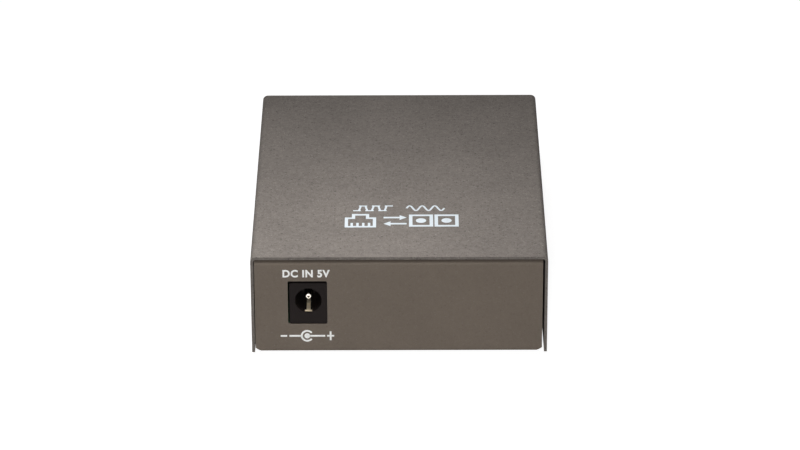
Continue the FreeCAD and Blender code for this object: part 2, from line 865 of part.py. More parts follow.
def make_dc_jack_body():
    """Moulded inlet: square collar, round barrel, flat-topped bore with a key slot above and below."""
    x = dc_middle
    collar = body("dc_collar")
    face = sketch(collar, "XZ", s.dc_collar_depth - dc_face)
    sides, levels = around(x, s.dc_jack_width), (board_top, board_top + s.dc_jack_height)
    rectangle(face, sides, levels)
    front = pad(collar, face, s.dc_collar_depth)
    front.Reversed = True
    fillet(collar, s.cutout_corner, along("y", x=sides, z=levels))
    barrel = cylinder("dc_barrel", (x, dc_rear, dc_bore_z), s.dc_housing_radius, s.dc_jack_depth, "y")
    plinth = box("dc_plinth", around(x, s.dc_housing_radius * 2), (dc_rear, dc_face), (board_top, dc_bore_z))
    housing = fuse("dc_housing", [collar, barrel, plinth])

    bore_y = (dc_bore_end, dc_face)
    round_bore = cylinder("dc_round_bore", (x, dc_bore_end, dc_bore_z), s.dc_bore_radius,
                          s.dc_bore_depth, "y")
    flats = box("dc_flats", around(x, s.dc_bore_radius * 3), bore_y, around(dc_bore_z, s.dc_bore_flat * 2))
    bore = doc.addObject("Part::MultiCommon", "dc_bore")
    bore.Shapes = [round_bore, flats]
    key = box("dc_key", around(x, s.dc_key_width), bore_y, around(dc_bore_z, s.dc_bore_radius * 2))
    channel = box("dc_channel", around(x, s.dc_key_width), (dc_bore_end, dc_face - s.dc_spring_recess / 2),
                  (dc_bore_z - s.dc_bore_radius - s.dc_spring_sheet, dc_bore_z))
    pin_hole = cylinder("dc_pin_hole", (x, dc_rear, dc_bore_z), s.dc_pin_radius + s.dc_pin_clearance,
                        s.dc_jack_depth, "y")
    return cut("dc_jack_body", housing, [fuse("dc_hollow", [bore, key, channel, pin_hole])])


def make_dc_jack_pin():
    """Centre pin with a tapered tip, set back from the face."""
    end_y = dc_face - s.dc_pin_recess
    tip_y = end_y - s.dc_pin_taper
    rod = cylinder("dc_pin_rod", (dc_middle, dc_rear, dc_bore_z), s.dc_pin_radius, tip_y - dc_rear, "y")
    tip = cone("dc_pin_tip", (dc_middle, tip_y, dc_bore_z), s.dc_pin_radius, s.dc_pin_radius - s.dc_pin_taper,
               s.dc_pin_taper, "y")
    return fuse("dc_jack_pin", [rod, tip])


def make_dc_jack_spring():
    """Spring strip on the floor of the bore that presses on the plug's sleeve."""
    spring = body("dc_jack_spring")
    front = dc_face - s.dc_spring_recess
    floor = dc_bore_z - s.dc_bore_radius
    sheet = s.dc_spring_sheet
    middle = (front + dc_bore_end) / 2
    strip = sketch(spring, "YZ", dc_middle)
    polygon(strip, [
        (front, floor - sheet), (front, floor), (middle, floor + s.dc_spring_rise), (dc_bore_end, floor),
        (dc_bore_end, floor - sheet), (middle, floor + s.dc_spring_rise - sheet)])
    pad(spring, strip, s.dc_spring_width, symmetric=True)
    lip = sketch(spring, "XY", floor - sheet)
    rectangle(lip, around(dc_middle, s.dc_spring_lip), (front - sheet * 2, front))
    pad(spring, lip, sheet)
    return spring


def make_dc_jack_terminals():
    """Three solder tabs through the board; the rear one rises to the centre pin."""
    tops = (dc_bore_z + s.dc_pin_radius, board_top, board_top)
    tabs = [box(f"dc_tab_{i}", x, y, (lead_bottom, top))
            for i, ((x, y), top) in enumerate(zip(dc_tabs(), tops))]
    return group("dc_jack_terminals", tabs)


# ---------------------------------------------------------------- Ethernet socket

def make_ethernet_body():
    """Moulded socket with its latch recess under the mouth."""
    sheet = s.eth_shield_sheet
    block = box("eth_block", around(eth_middle, s.eth_width - sheet * 2),
                (port_face + sheet, eth_rear - sheet),
                (board_top, board_top + s.eth_height - sheet))
    mouth = box("eth_mouth", around(eth_middle, s.eth_mouth_width), (port_face, eth_mouth_end),
                (eth_floor, eth_ceiling))
    latch = box("eth_latch", around(eth_middle, s.eth_latch_width), (port_face, eth_mouth_end),
                (eth_floor - s.eth_latch_drop, eth_floor))
    return cut("ethernet_jack_body", block, [fuse("eth_hollow", [mouth, latch])])


def make_ethernet_shield():
    """Folded shield over the socket, open below, with a window for the mouth and two board tabs."""
    sheet = s.eth_shield_sheet
    top = board_top + s.eth_height
    skin = box("eth_skin", around(eth_middle, s.eth_width), (port_face, eth_rear), (board_top, top))
    room = box("eth_room", around(eth_middle, s.eth_width - sheet * 2), (port_face + sheet, eth_rear - sheet),
               (board_top, top - sheet))
    window = box("eth_window", around(eth_middle, s.eth_width - s.eth_rim * 2),
                 (port_face, port_face + sheet),
                 (board_top, top - s.eth_rim))
    shell = cut("eth_shell", skin, [fuse("eth_inside", [room, window])])
    tabs = []
    for i, (x, y) in enumerate(eth_tab_places()):
        tabs.append(box(f"eth_tab_{i}", around(x, sheet), around(y, s.eth_tab_length),
                        (lead_bottom, board_top)))
    return fuse("ethernet_jack_shield", [shell] + tabs)


def make_ethernet_contacts():
    """Eight spring wires that run along the ceiling and slope back down into the mouth."""
    contacts = body("ethernet_jack_contacts")
    sheet = s.eth_contact_sheet
    front = port_face + s.eth_contact_front
    reach = port_face + s.eth_contact_reach
    low = eth_ceiling - s.eth_contact_drop
    first = eth_middle - s.eth_contact_pitch * (SIZES["eth_contact_count"] - 1) / 2
    wire = sketch(contacts, "YZ", first - s.eth_contact_width / 2)
    polygon(wire, [
        (eth_mouth_end, eth_ceiling), (front, eth_ceiling), (front, eth_ceiling - sheet),
        (reach, low - sheet), (reach, low), (front + sheet * 3, eth_ceiling - sheet),
        (eth_mouth_end, eth_ceiling - sheet)])
    one = pad(contacts, wire, s.eth_contact_width)
    row = contacts.newObject("PartDesign::LinearPattern", "ethernet_contact_row")
    row.Originals = [one]
    row.Direction = (wire, ["N_Axis"])
    bind(row, "Length", s.eth_contact_pitch * (SIZES["eth_contact_count"] - 1))
    bind(row, "Occurrences", s.eth_contact_count)
    contacts.Tip = row
    return contacts


def make_ethernet_leads():
    return group("ethernet_jack_leads", lead_row("eth_lead", eth_lead_places()))


# ---------------------------------------------------------------- fibre transceiver

def sc_port_middles():
    return [sc_middle + offset for offset in row_of(2, s.sc_port_pitch)]


def make_transceiver_body():
    """Duplex receptacle moulded in one with the lower module behind it."""
    nose_end = port_face + s.sc_nose_depth
    nose = box("sc_nose", around(sc_middle, s.sc_width), (port_face, nose_end),
               (board_top, board_top + s.sc_height))
    module = box("sc_module", around(sc_middle, s.sc_width), (nose_end, sc_rear),
                 (board_top, board_top + s.sc_module_height))
    hollows = []
    for i, x in enumerate(sc_port_middles()):
        depth = (port_face, sc_port_end)
        mouth = box(f"sc_mouth_{i}", around(x, s.sc_port_width), depth, around(sc_axis_z, s.sc_port_height))
        key_top = sc_axis_z + s.sc_port_height / 2 + s.sc_key_height
        key = box(f"sc_key_{i}", around(x, s.sc_key_width), depth, (sc_axis_z, key_top))
        hollows.append(fuse(f"sc_hollow_{i}", [mouth, key]))
    return cut("fibre_transceiver_body", fuse("sc_block", [nose, module]), hollows)


def make_ferrule_sleeves():
    """A bored sleeve in the middle of each port."""
    sleeves = []
    for i, x in enumerate(sc_port_middles()):
        foot = (x, sc_port_end - s.sc_sleeve_length, sc_axis_z)
        outer = cylinder(f"sleeve_{i}_outer", foot, s.sc_sleeve_radius, s.sc_sleeve_length, "y")
        bore = cylinder(f"sleeve_{i}_bore", foot, s.sc_sleeve_bore, s.sc_sleeve_length - s.sc_arm_sheet, "y")
        sleeves.append(cut(f"sleeve_{i}", outer, [bore]))
    return group("fibre_ferrule_sleeves", sleeves)


def make_latch_arms():
    """Two hooked arms beside each sleeve, lying on the port's side walls."""
    arms = body("fibre_latch_arms")
    tip = sc_port_end - s.sc_arm_length
    plan = sketch(arms, "XY", sc_axis_z - s.sc_arm_height / 2)
    for x in sc_port_middles():
        for side in (-1, 1):
            wall = x + s.sc_port_width / 2 * side
            inner = wall - s.sc_arm_sheet * side
            hook = inner - s.sc_arm_hook * side
            polygon(plan, [
                (wall, sc_port_end), (wall, tip), (inner, tip), (hook, tip + s.sc_arm_hook),
                (hook, tip + s.sc_arm_hook * 2), (inner, tip + s.sc_arm_hook * 2), (inner, sc_port_end)])
    pad(arms, plan, s.sc_arm_height)
    return arms


def make_transceiver_pins():
    """One row of nine pins and two thicker mounting posts under the module."""
    posts = [box(f"sc_post_{i}", around(x, s.sc_stud_width), around(y, s.sc_stud_width),
                 (lead_bottom, board_top)) for i, (x, y) in enumerate(sc_stud_places())]
    return group("fibre_transceiver_pins", lead_row("sc_pin", sc_pin_places()) + posts)


# ---------------------------------------------------------------- lamps and DIP switch

def make_led_holder():
    return box("led_holder", around(led_middle, led_holder_width),
               (led_holder_face, led_holder_face + s.led_holder_depth), (board_top, led_top + s.led_margin))


def make_leds():
    """Flat-faced lamp lenses, flush with the front wall's face."""
    return group("status_leds", [
        box(f"led_{i}", around(x, s.led_width), (-half_depth, led_holder_face), around(z, s.led_height))
        for i, (x, z) in enumerate(led_places())])


def make_led_leads():
    return group("led_leads", lead_row("led_lead", led_lead_places()))


def dip_middles():
    return [dip_middle + offset for offset in row_of(SIZES["dip_way_count"], s.dip_pitch)]


def make_dip_body():
    """Right-angle switch block with one upright slot for each lever."""
    block = box("dip_block", around(dip_middle, dip_width), (dip_face, dip_face + s.dip_depth),
                (board_top, board_top + s.dip_height))
    slots = []
    for i, x in enumerate(dip_middles()):
        slots.append(box(f"dip_slot_{i}", around(x, s.dip_lever_width + s.dip_clearance * 2),
                         (dip_face, dip_face + s.dip_lever_depth + s.dip_clearance),
                         (dip_slot_z - dip_slot_half, dip_slot_z + dip_slot_half)))
    return cut("dip_switch_body", block, slots)


def make_dip_lever(number, x):
    """One lever, resting at the lower end of its slot, with a bevelled grip."""
    low = dip_slot_z - dip_slot_half + s.dip_clearance
    lever = body(f"dip_lever_{number}")
    outline = sketch(lever, "XZ", half_depth)
    rectangle(outline, around(x, s.dip_lever_width), (low, low + s.dip_lever_height))
    stem = pad(lever, outline, dip_face + s.dip_lever_depth + half_depth)
    stem.Reversed = True
    chamfer(lever, s.dip_lever_bevel, at_level("y", -half_depth))
    return lever


def make_dip_pins():
    return group("dip_switch_pins", lead_row("dip_pin", dip_pin_places()))


# ---------------------------------------------------------------- parts on the board

def package(name, x, y, width, length, height):
    """A flat moulded package with its upper edges bevelled, just clear of the board."""
    low = board_top + s.package_standoff
    block = body(name)
    outline = sketch(block, "XY", low)
    rectangle(outline, around(x, width), around(y, length))
    pad(block, outline, height)
    chamfer(block, s.package_edge, at_level("z", low + height))
    return block


def gull_leads(name, x, y, half, count, pitch, height, around_z):
    """Bent leads along the +X side of a package, repeated round its middle."""
    leads = body(name)
    sheet = s.lead_sheet
    shoulder = board_top + s.package_standoff + height / 2
    start = x + half
    toe = start + s.lead_reach
    knee = toe - s.lead_foot
    first_y = y - pitch * (count - 1) / 2
    bend = sketch(leads, "XZ", -first_y - s.lead_width / 2)
    polygon(bend, [
        (start, shoulder), (start, shoulder + sheet), (knee + sheet, board_top + sheet),
        (toe, board_top + sheet), (toe, board_top), (knee, board_top)])
    one = pad(leads, bend, s.lead_width)
    row = leads.newObject("PartDesign::LinearPattern", f"{name}_row")
    row.Direction = (bend, ["N_Axis"])
    row.Reversed = True
    bind(row, "Length", pitch * (count - 1))
    row.Occurrences = count
    turn = leads.newObject("PartDesign::PolarPattern", f"{name}_turn")
    turn.Angle = 360
    turn.Occurrences = around_z
    middle = sketch(leads, "XY")
    bind(middle, "AttachmentOffset.Base.x", x)
    bind(middle, "AttachmentOffset.Base.y", y)
    turn.Axis = (middle, ["N_Axis"])
    both = leads.newObject("PartDesign::MultiTransform", f"{name}_all")
    both.Originals = [one]
    both.Transformations = [row, turn]
    leads.Tip = both
    return leads


def make_transformer():
    return package("network_transformer", transformer_x, transformer_y, s.transformer_width,
                   s.transformer_length, s.transformer_height)


def make_transformer_leads():
    return gull_leads("network_transformer_leads", transformer_x, transformer_y, s.transformer_width / 2,
                      SIZES["transformer_lead_count"], s.transformer_pitch, s.memory_height, 2)


def make_chip():
    return package("converter_chip", s.chip_x, chip_y, s.chip_width, s.chip_width, s.chip_height)


def make_chip_leads():
    return gull_leads("converter_chip_leads", s.chip_x, chip_y, s.chip_width / 2, SIZES["chip_lead_count"],
                      s.chip_pitch, s.chip_height, 4)


def make_memory():
    return package("memory_chip", s.memory_x, memory_y, s.memory_width, s.memory_length, s.memory_height)


def make_memory_leads():
    return gull_leads("memory_chip_leads", s.memory_x, memory_y, s.memory_width / 2,
                      SIZES["memory_lead_count"],
                      s.memory_pitch, s.memory_height, 2)


def make_crystal():
    """A low metal can with round ends."""
    x, y = s.crystal_x, crystal_y
    reach = (s.crystal_length - s.crystal_width) / 2
    middle = box("crystal_middle", (x - reach, x + reach), around(y, s.crystal_width),
                 (board_top, board_top + s.crystal_height))
    ends = [cylinder(f"crystal_end_{i}", (x + reach * side, y, board_top), s.crystal_width / 2,
                     s.crystal_height) for i, side in enumerate((-1, 1))]
    return fuse("clock_crystal", [middle] + ends)


def make_regulator():
    return package("voltage_regulator", s.regulator_x, regulator_y, s.regulator_length, s.regulator_width,
                   s.regulator_height)


def make_regulator_leads():
    """Three legs on one side and a wide tab on the other, flat on the board."""
    front = regulator_y - s.regulator_width / 2
    rear = regulator_y + s.regulator_width / 2
    flat = (board_top, board_top + s.lead_sheet * 2)
    legs = [box(f"regulator_leg_{i}", around(s.regulator_x + offset, s.lead_width * 2),
                (front - s.lead_reach, front), flat)
            for i, offset in enumerate(row_of(SIZES["regulator_lead_count"], s.regulator_pitch))]
    tab = box("regulator_tab", around(s.regulator_x, s.regulator_tab), (rear, rear + s.lead_reach), flat)
    return group("regulator_leads", legs + [tab])


def make_inductor_base():
    x, y = around(s.inductor_x, s.inductor_width), around(inductor_y, s.inductor_width)
    return box("inductor_base", x, y, (board_top, board_top + s.inductor_base_height))


def make_inductor():
    """Drum core: a waist between two round flanges."""
    foot = board_top + s.inductor_base_height
    third = s.inductor_height / 3
    flanges = [cylinder(f"inductor_flange_{i}", (s.inductor_x, inductor_y, foot + third * i),
                        s.inductor_radius, third) for i in (0, 2)]
    waist = cylinder("inductor_waist", (s.inductor_x, inductor_y, foot + third),
                     s.inductor_radius - s.inductor_base_height, third)
    return fuse("power_inductor", flanges + [waist])


def make_bulk_capacitors():
    return group("bulk_capacitors", [
        cylinder(f"capacitor_{i}", (s.capacitor_x - s.capacitor_pitch * i, capacitor_y, board_top),
                 s.capacitor_radius, s.capacitor_height) for i in range(2)])


def make_fuse():
    return box("input_fuse", around(fuse_x, s.fuse_length), around(fuse_y, s.fuse_width),
               (board_top, board_top + s.fuse_height))


def small_row(name, y, length, width, height):
    """A row of like surface-mounted parts beside the converter chip."""
    return group(name, [
        box(f"{name}_{i}", around(s.chip_x + offset, width), around(y, length),
            (board_top, board_top + height))
        for i, offset in enumerate(row_of(SIZES["small_count"], s.small_pitch))])


def make_ceramics():
    return small_row("ceramic_capacitors", ceramic_y, s.ceramic_length, s.ceramic_width, s.ceramic_height)


def make_resistors():
    return small_row("chip_resistors", resistor_y, s.resistor_length, s.resistor_width, s.resistor_height)


# ---------------------------------------------------------------- assembly

MAKERS = [
    make_cover, make_tray, make_cover_screws, make_feet, make_board, make_standoffs, make_board_screws,
    make_dc_jack_body, make_dc_jack_pin, make_dc_jack_spring, make_dc_jack_terminals,
    make_ethernet_body, make_ethernet_shield, make_ethernet_contacts, make_ethernet_leads,
    make_transceiver_body, make_ferrule_sleeves, make_latch_arms, make_transceiver_pins,
    make_led_holder, make_leds, make_led_leads, make_dip_body, make_dip_pins,
    make_transformer, make_transformer_leads, make_chip, make_chip_leads, make_memory, make_memory_leads,
    make_crystal, make_regulator, make_regulator_leads, make_inductor_base, make_inductor,
    make_bulk_capacitors, make_fuse, make_ceramics, make_resistors,
]


def build():
    """Make every sub-part, check the whole document and write one STEP file for each."""
    nodes = [make() for make in MAKERS]
    nodes += [make_dip_lever(i, x) for i, x in enumerate(dip_middles(), start=1)]
    doc.recompute()
    for thing in doc.Objects:
        if "Invalid" in thing.State or "Error" in thing.State:
            raise ValueError(f"{thing.Name} failed: {thing.State}")
    for node in nodes:
        node.Label = node.Name
        if node.Shape.isNull() or not node.Shape.isValid():
            raise ValueError(f"{node.Name} has no valid shape")
    os.makedirs("parts", exist_ok=True)
    for node in nodes:
        node.Shape.exportStep(os.path.join("parts", f"{node.Label}.step"))
        print(node.Label, len(node.Shape.Solids), "solids", round(node.Shape.Volume, 1), "mm3")


build()
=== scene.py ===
"""Finish of the fibre media converter: coats, plated metal, moulded plastic, prints and small fittings."""
import json
from math import cos, pi, radians, sin

import bmesh
import bpy
import numpy as np
from mathutils import Matrix, Vector


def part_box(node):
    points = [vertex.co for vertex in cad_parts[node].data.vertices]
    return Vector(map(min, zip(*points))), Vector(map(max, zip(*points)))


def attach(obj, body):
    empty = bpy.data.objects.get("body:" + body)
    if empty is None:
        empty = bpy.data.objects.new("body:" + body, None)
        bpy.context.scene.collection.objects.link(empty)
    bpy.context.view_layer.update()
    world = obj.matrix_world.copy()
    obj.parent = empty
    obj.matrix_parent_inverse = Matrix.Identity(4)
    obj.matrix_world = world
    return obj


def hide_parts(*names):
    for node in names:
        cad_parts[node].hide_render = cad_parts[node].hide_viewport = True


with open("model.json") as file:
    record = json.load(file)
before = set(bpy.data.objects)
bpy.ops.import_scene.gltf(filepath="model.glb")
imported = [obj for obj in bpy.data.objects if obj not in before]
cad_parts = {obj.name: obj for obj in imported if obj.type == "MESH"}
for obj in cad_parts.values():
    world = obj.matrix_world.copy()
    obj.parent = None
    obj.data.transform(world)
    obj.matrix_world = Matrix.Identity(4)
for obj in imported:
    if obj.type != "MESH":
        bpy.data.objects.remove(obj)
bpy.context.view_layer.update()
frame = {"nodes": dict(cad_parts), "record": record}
nodes = frame["nodes"]

MM = 0.001
# Points nearer than this, in metres, are one.
MERGE_GAP = 1e-7
# The height of a capital as a share of the built-in face's size.
CAPITAL_SHARE = 0.70


# -------------------- shapes worked out with numpy
# A shape is a pair: an array of points (n, 3) and a list of faces that index them.

def skin_of(rings):
    """Quads between closed rings of points (rings, points in a ring, 3), from each ring to the next.

    Corners run (u, v), (u + 1, v), (u + 1, v + 1), (u, v + 1), and v + 1 after the last v is 0.
    """
    count, around = rings.shape[:2]
    u, v = np.meshgrid(np.arange(count - 1), np.arange(around), indexing="ij")
    after = (v + 1) % around
    corners = [u * around + v, (u + 1) * around + v, (u + 1) * around + after, u * around + after]
    return rings.reshape(-1, 3), np.stack(corners, -1).reshape(-1, 4).tolist()


def joined(shapes):
    """Several shapes as one, each one's faces shifted past the points before it."""
    points = []
    faces = []
    count = 0
    for some_points, some_faces in shapes:
        points.append(np.asarray(some_points, float))
        faces += [[index + count for index in face] for face in some_faces]
        count += len(some_points)
    return np.concatenate(points), faces


def axes_for(direction):
    """Two directions square to the given one, the three together right-handed."""
    along = Vector(direction).normalized()
    side = Vector((0, 0, 1)) if abs(along.z) < 0.9 else Vector((1, 0, 0))
    across = along.cross(side).normalized()
    return np.array(across), np.array(along.cross(across)), np.array(along)


def placed(points, centre, direction):
    """Points turned so that their third axis is the direction, and moved to a centre.

    p = centre + x across + y upward + z outward, with the three axes of axes_for.
    """
    across, upward, outward = axes_for(direction)
    level = points[..., :1] * across + points[..., 1:2] * upward
    return np.asarray(centre) + level + points[..., 2:] * outward


def lathe(profile, centre, direction, segments=48):
    """A profile of (radius, height) turned once round an axis: x = r cos t, y = r sin t, z = height."""
    profile = np.asarray(profile, float)
    turn = np.linspace(0, 2 * pi, segments, endpoint=False)
    radius = profile[:, :1]
    points = np.stack([radius * np.cos(turn), radius * np.sin(turn),
                       np.repeat(profile[:, 1:], segments, axis=1)], -1)
    return skin_of(placed(points, centre, direction))


def rounded_profile(radius, low, high, edge, steps=5):
    """Radius and height of a solid cylinder whose two rims are quarter circles of radius edge."""
    turn = np.linspace(0, pi / 2, steps)
    lower = np.stack([radius - edge + edge * np.sin(turn), low + edge - edge * np.cos(turn)], -1)
    upper = np.stack([radius - edge + edge * np.cos(turn), high - edge + edge * np.sin(turn)], -1)
    return np.concatenate([[(0, low)], lower, upper, [(0, high)]])


def sweep(path, width, height, sides=0):
    """A section carried along a path of points (n, 3), square to the path, with closed ends.

    The section is a rectangle of width and height, or a circle of that many sides and diameter width.
    At each point its first axis is the path's direction crossed with z, and its second is square to both.
    """
    path = np.asarray(path, float)
    ahead = np.gradient(path, axis=0)
    ahead /= np.linalg.norm(ahead, axis=1, keepdims=True)
    upward = np.array([0.0, 0.0, 1.0])
    across = np.cross(ahead, upward)
    across /= np.linalg.norm(across, axis=1, keepdims=True)
    lift = np.cross(across, ahead)
    if sides:
        turn = np.linspace(0, 2 * pi, sides, endpoint=False)
        section = np.stack([np.cos(turn), np.sin(turn)], -1) * width / 2
    else:
        section = np.array([(-width, -height), (width, -height), (width, height), (-width, height)]) / 2
    sideways = section[None, :, :1] * across[:, None]
    points = path[:, None] + sideways + section[None, :, 1:] * lift[:, None]
    skin, faces = skin_of(points)
    count = len(section)
    last = len(skin) - count
    faces.append(list(range(count)))
    faces.append([last + count - 1 - i for i in range(count)])
    return skin, faces


def plate(outline, thickness):
    """A flat polygon in the xy plane, given a thickness upwards: two caps and one quad per side."""
    outline = np.asarray(outline, float)
    count = len(outline)
    low = np.column_stack([outline, np.zeros(count)])
    high = np.column_stack([outline, np.full(count, thickness)])
    ring = np.arange(count)
    after = (ring + 1) % count
    sides = np.stack([ring, after, after + count, ring + count], -1).tolist()
    return np.concatenate([low, high]), [ring[::-1].tolist(), (ring + count).tolist()] + sides


def stroke(path, width, thickness):
    """A flat line of one width along a path of points in the xy plane, raised by a thickness."""
    path = np.asarray(path, float)
    flat = np.column_stack([path, np.full(len(path), thickness / 2)])
    return sweep(flat, width, thickness)


def circle_path(centre, radius, start, end, steps):
    """Points at equal angles on a circle, from the start angle to the end angle in degrees."""
    turn = np.radians(np.linspace(start, end, steps))
    return np.column_stack([centre[0] + radius * np.cos(turn), centre[1] + radius * np.sin(turn)])


def laid(shape, origin, right, upward):
    """A shape drawn in the xy plane, laid on the object with its x along right and its y along upward."""
    points, faces = shape
    right = np.asarray(right, float)
    upward = np.asarray(upward, float)
    outward = np.cross(right, upward)
    turned = np.asarray(origin) + points[:, :1] * right + points[:, 1:2] * upward + points[:, 2:] * outward
    return turned, faces


def lettering(words, height, thickness, tracking, weight):
    """Words in the plain built-in face as a raised shape, centred on the origin.

    The height is that of a capital; the weight swells each stroke's outline by that much.
    """
    curve = bpy.data.curves.new("lettering", "FONT")
    curve.body = words
    curve.size = height / CAPITAL_SHARE
    curve.space_character = tracking
    curve.offset = weight
    curve.extrude = thickness / 2
    curve.align_x = "CENTER"
    curve.align_y = "CENTER"
    curve.resolution_u = 4
    writing = bpy.data.objects.new("lettering", curve)
    mesh = bpy.data.meshes.new_from_object(writing)
    points = points_of(mesh)
    points[:, 2] += thickness / 2
    faces = [list(face.vertices) for face in mesh.polygons]
    bpy.data.objects.remove(writing)
    bpy.data.curves.remove(curve)
    bpy.data.meshes.remove(mesh)
    return points, faces


# -------------------- pieces

# Degrees between faces: a made surface is smooth below the first, a solid's edge is rounded above the
# second, and faces of a solid are one flat below the third.
SURFACE_CREASE = 35
EDGE_ANGLE = 30
FACET_ANGLE = 0.3


def add_piece(name, mesh, material, body="case", slot=None, stands_for=()):
    """Link a mesh as a piece that rides on a body, with its finish, and hide the solid it stands for. The
    slot is not used.
    """
    mesh.materials.clear()
    mesh.materials.append(material)
    piece = bpy.data.objects.new(name, mesh)
    bpy.context.scene.collection.objects.link(piece)
    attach(piece, body)
    if stands_for:
        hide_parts(*stands_for)
    return piece


def mesh_of(name, shape):
    """A mesh from a shape: doubles merged, faces turned outwards, smooth up to the crease angle."""
    points, faces = shape
    mesh = bpy.data.meshes.new(name)
    mesh.from_pydata(np.asarray(points).tolist(), [], faces)
    work = bmesh.new()
    work.from_mesh(mesh)
    bmesh.ops.remove_doubles(work, verts=work.verts, dist=MERGE_GAP)
    bmesh.ops.recalc_face_normals(work, faces=work.faces)
    work.to_mesh(mesh)
    work.free()
    mesh.shade_smooth()
    mesh.set_sharp_from_angle(angle=radians(SURFACE_CREASE))
    return mesh


def new_piece(name, shape, material, **facts):
    """A piece from a shape, linked with the facts that add_piece takes."""
    add_piece(name, mesh_of(name, shape), material, **facts)


def dress(node, material, radius, body="case", segments=2):
    """A merged copy of a solid with its sharp edges rounded, in place of the solid."""
    name = node + "_finished"
    mesh = nodes[node].data.copy()
    mesh.name = name
    work = bmesh.new()
    work.from_mesh(mesh)
    bmesh.ops.remove_doubles(work, verts=work.verts, dist=MERGE_GAP)
    bmesh.ops.dissolve_limit(work, angle_limit=radians(FACET_ANGLE), verts=work.verts, edges=work.edges)
    work.to_mesh(mesh)
    work.free()
    mesh.shade_smooth()
    mesh.set_sharp_from_angle(angle=radians(EDGE_ANGLE))
    piece = add_piece(name, mesh, material, body=body, slot=SLOTS[node], stands_for=(node,))
    rounding = piece.modifiers.new("rounded_edges", "BEVEL")
    rounding.width = radius
    rounding.segments = segments
    rounding.limit_method = "ANGLE"
    rounding.angle_limit = radians(EDGE_ANGLE)
    rounding.harden_normals = True


def points_of(mesh):
    """The points of a mesh as an array (n, 3)."""
    points = np.zeros(len(mesh.vertices) * 3)
    mesh.vertices.foreach_get("co", points)
    return points.reshape(-1, 3)


def quarter(node, side_x, side_y):
    """Lowest and highest corner of the part of a solid that lies in one quarter of the plan."""
    points = points_of(nodes[node].data)
    inside = points[(points[:, 0] * side_x > 0) & (points[:, 1] * side_y > 0)]
    return inside.min(0), inside.max(0)


SLOTS = {row["node"]: row["material_slot"] for row in frame["record"]["subparts"]}
QUARTERS = [(-1, -1), (-1, 1), (1, -1), (1, 1)]
LEVERS = range(1, 5)


# -------------------- node groups

def node_group(name, inputs, outputs):
    """An empty shader group with its named inputs (with first values) and outputs."""
    tree = bpy.data.node_groups.new(name, "ShaderNodeTree")
    for label, kind, value in inputs:
        socket = tree.interface.new_socket(name=label, in_out="INPUT", socket_type="NodeSocket" + kind)
        socket.default_value = value
    for label, kind in outputs:
        tree.interface.new_socket(name=label, in_out="OUTPUT", socket_type="NodeSocket" + kind)
    return tree, tree.nodes.new("NodeGroupInput"), tree.nodes.new("NodeGroupOutput")


def add_node(tree, kind, settings=None, **links):
    """A node with its settings; each keyword links or fills the input of that name (_ for a blank)."""
    node = tree.nodes.new("ShaderNode" + kind)
    for key, value in (settings or {}).items():
        setattr(node, key, value)
    for key, value in links.items():
        if key.startswith("in"):
            socket = node.inputs[int(key[2:])]
        else:
            socket = node.inputs[key.replace("_", " ")]
        if isinstance(value, bpy.types.NodeSocket):
            tree.links.new(value, socket)
        else:
            socket.default_value = value
    return node


def maths(tree, operation, first, second=0.0, third=0.0, clamp=False):
    """The result of one sum, product or other operation of a Math node."""
    settings = {"operation": operation, "use_clamp": clamp}
    return add_node(tree, "Math", settings, in0=first, in1=second, in2=third).outputs[0]


def mixed(tree, factor, first, second, blend="MIX"):
    """One colour mixed into another by a factor."""
    node = tree.nodes.new("ShaderNodeMix")
    node.data_type = "RGBA"
    node.blend_type = blend
    for index, value in ((0, factor), (6, first), (7, second)):
        if isinstance(value, bpy.types.NodeSocket):
            tree.links.new(value, node.inputs[index])
        else:
            node.inputs[index].default_value = value
    return node.outputs[2]


def stepped(tree, value, low, high, to_low=0.0, to_high=1.0):
    """A value taken smoothly from one range to another."""
    node = add_node(tree, "MapRange", {"interpolation_type": "SMOOTHSTEP"}, Value=value)
    node.inputs["From Min"].default_value = low
    node.inputs["From Max"].default_value = high
    for label, number in (("To Min", to_low), ("To Max", to_high)):
        if isinstance(number, bpy.types.NodeSocket):
            tree.links.new(number, node.inputs[label])
        else:
            node.inputs[label].default_value = number
    return node.outputs[0]


def grey_of(tree, value):
    """A grey whose three channels are one value."""
    grey = tree.nodes.new("ShaderNodeCombineColor")
    for channel in grey.inputs:
        tree.links.new(value, channel)
    return grey.outputs[0]


def give_out(tree, result, colour, rough, bump):
    """Link a finish group's colour, roughness and relief to its outputs."""
    tree.links.new(colour, result.inputs["Colour"])
    tree.links.new(rough, result.inputs["Roughness"])
    tree.links.new(bump.outputs[0], result.inputs["Normal"])
    return tree


def object_noise(tree, scale, detail=2.0, roughness=0.5):
    """Noise in the object's own coordinates; the scale is in cells per metre."""
    place = tree.nodes.new("ShaderNodeTexCoord").outputs["Object"]
    return add_node(tree, "TexNoise", None, Vector=place, Scale=scale, Detail=detail,
                    Roughness=roughness).outputs[0]


# Each layer of flecks: its share of the cells per metre, and how dark it is.
FLECK_LAYERS = ((0.36, 0.75), (0.66, 0.60), (1.10, 0.50))


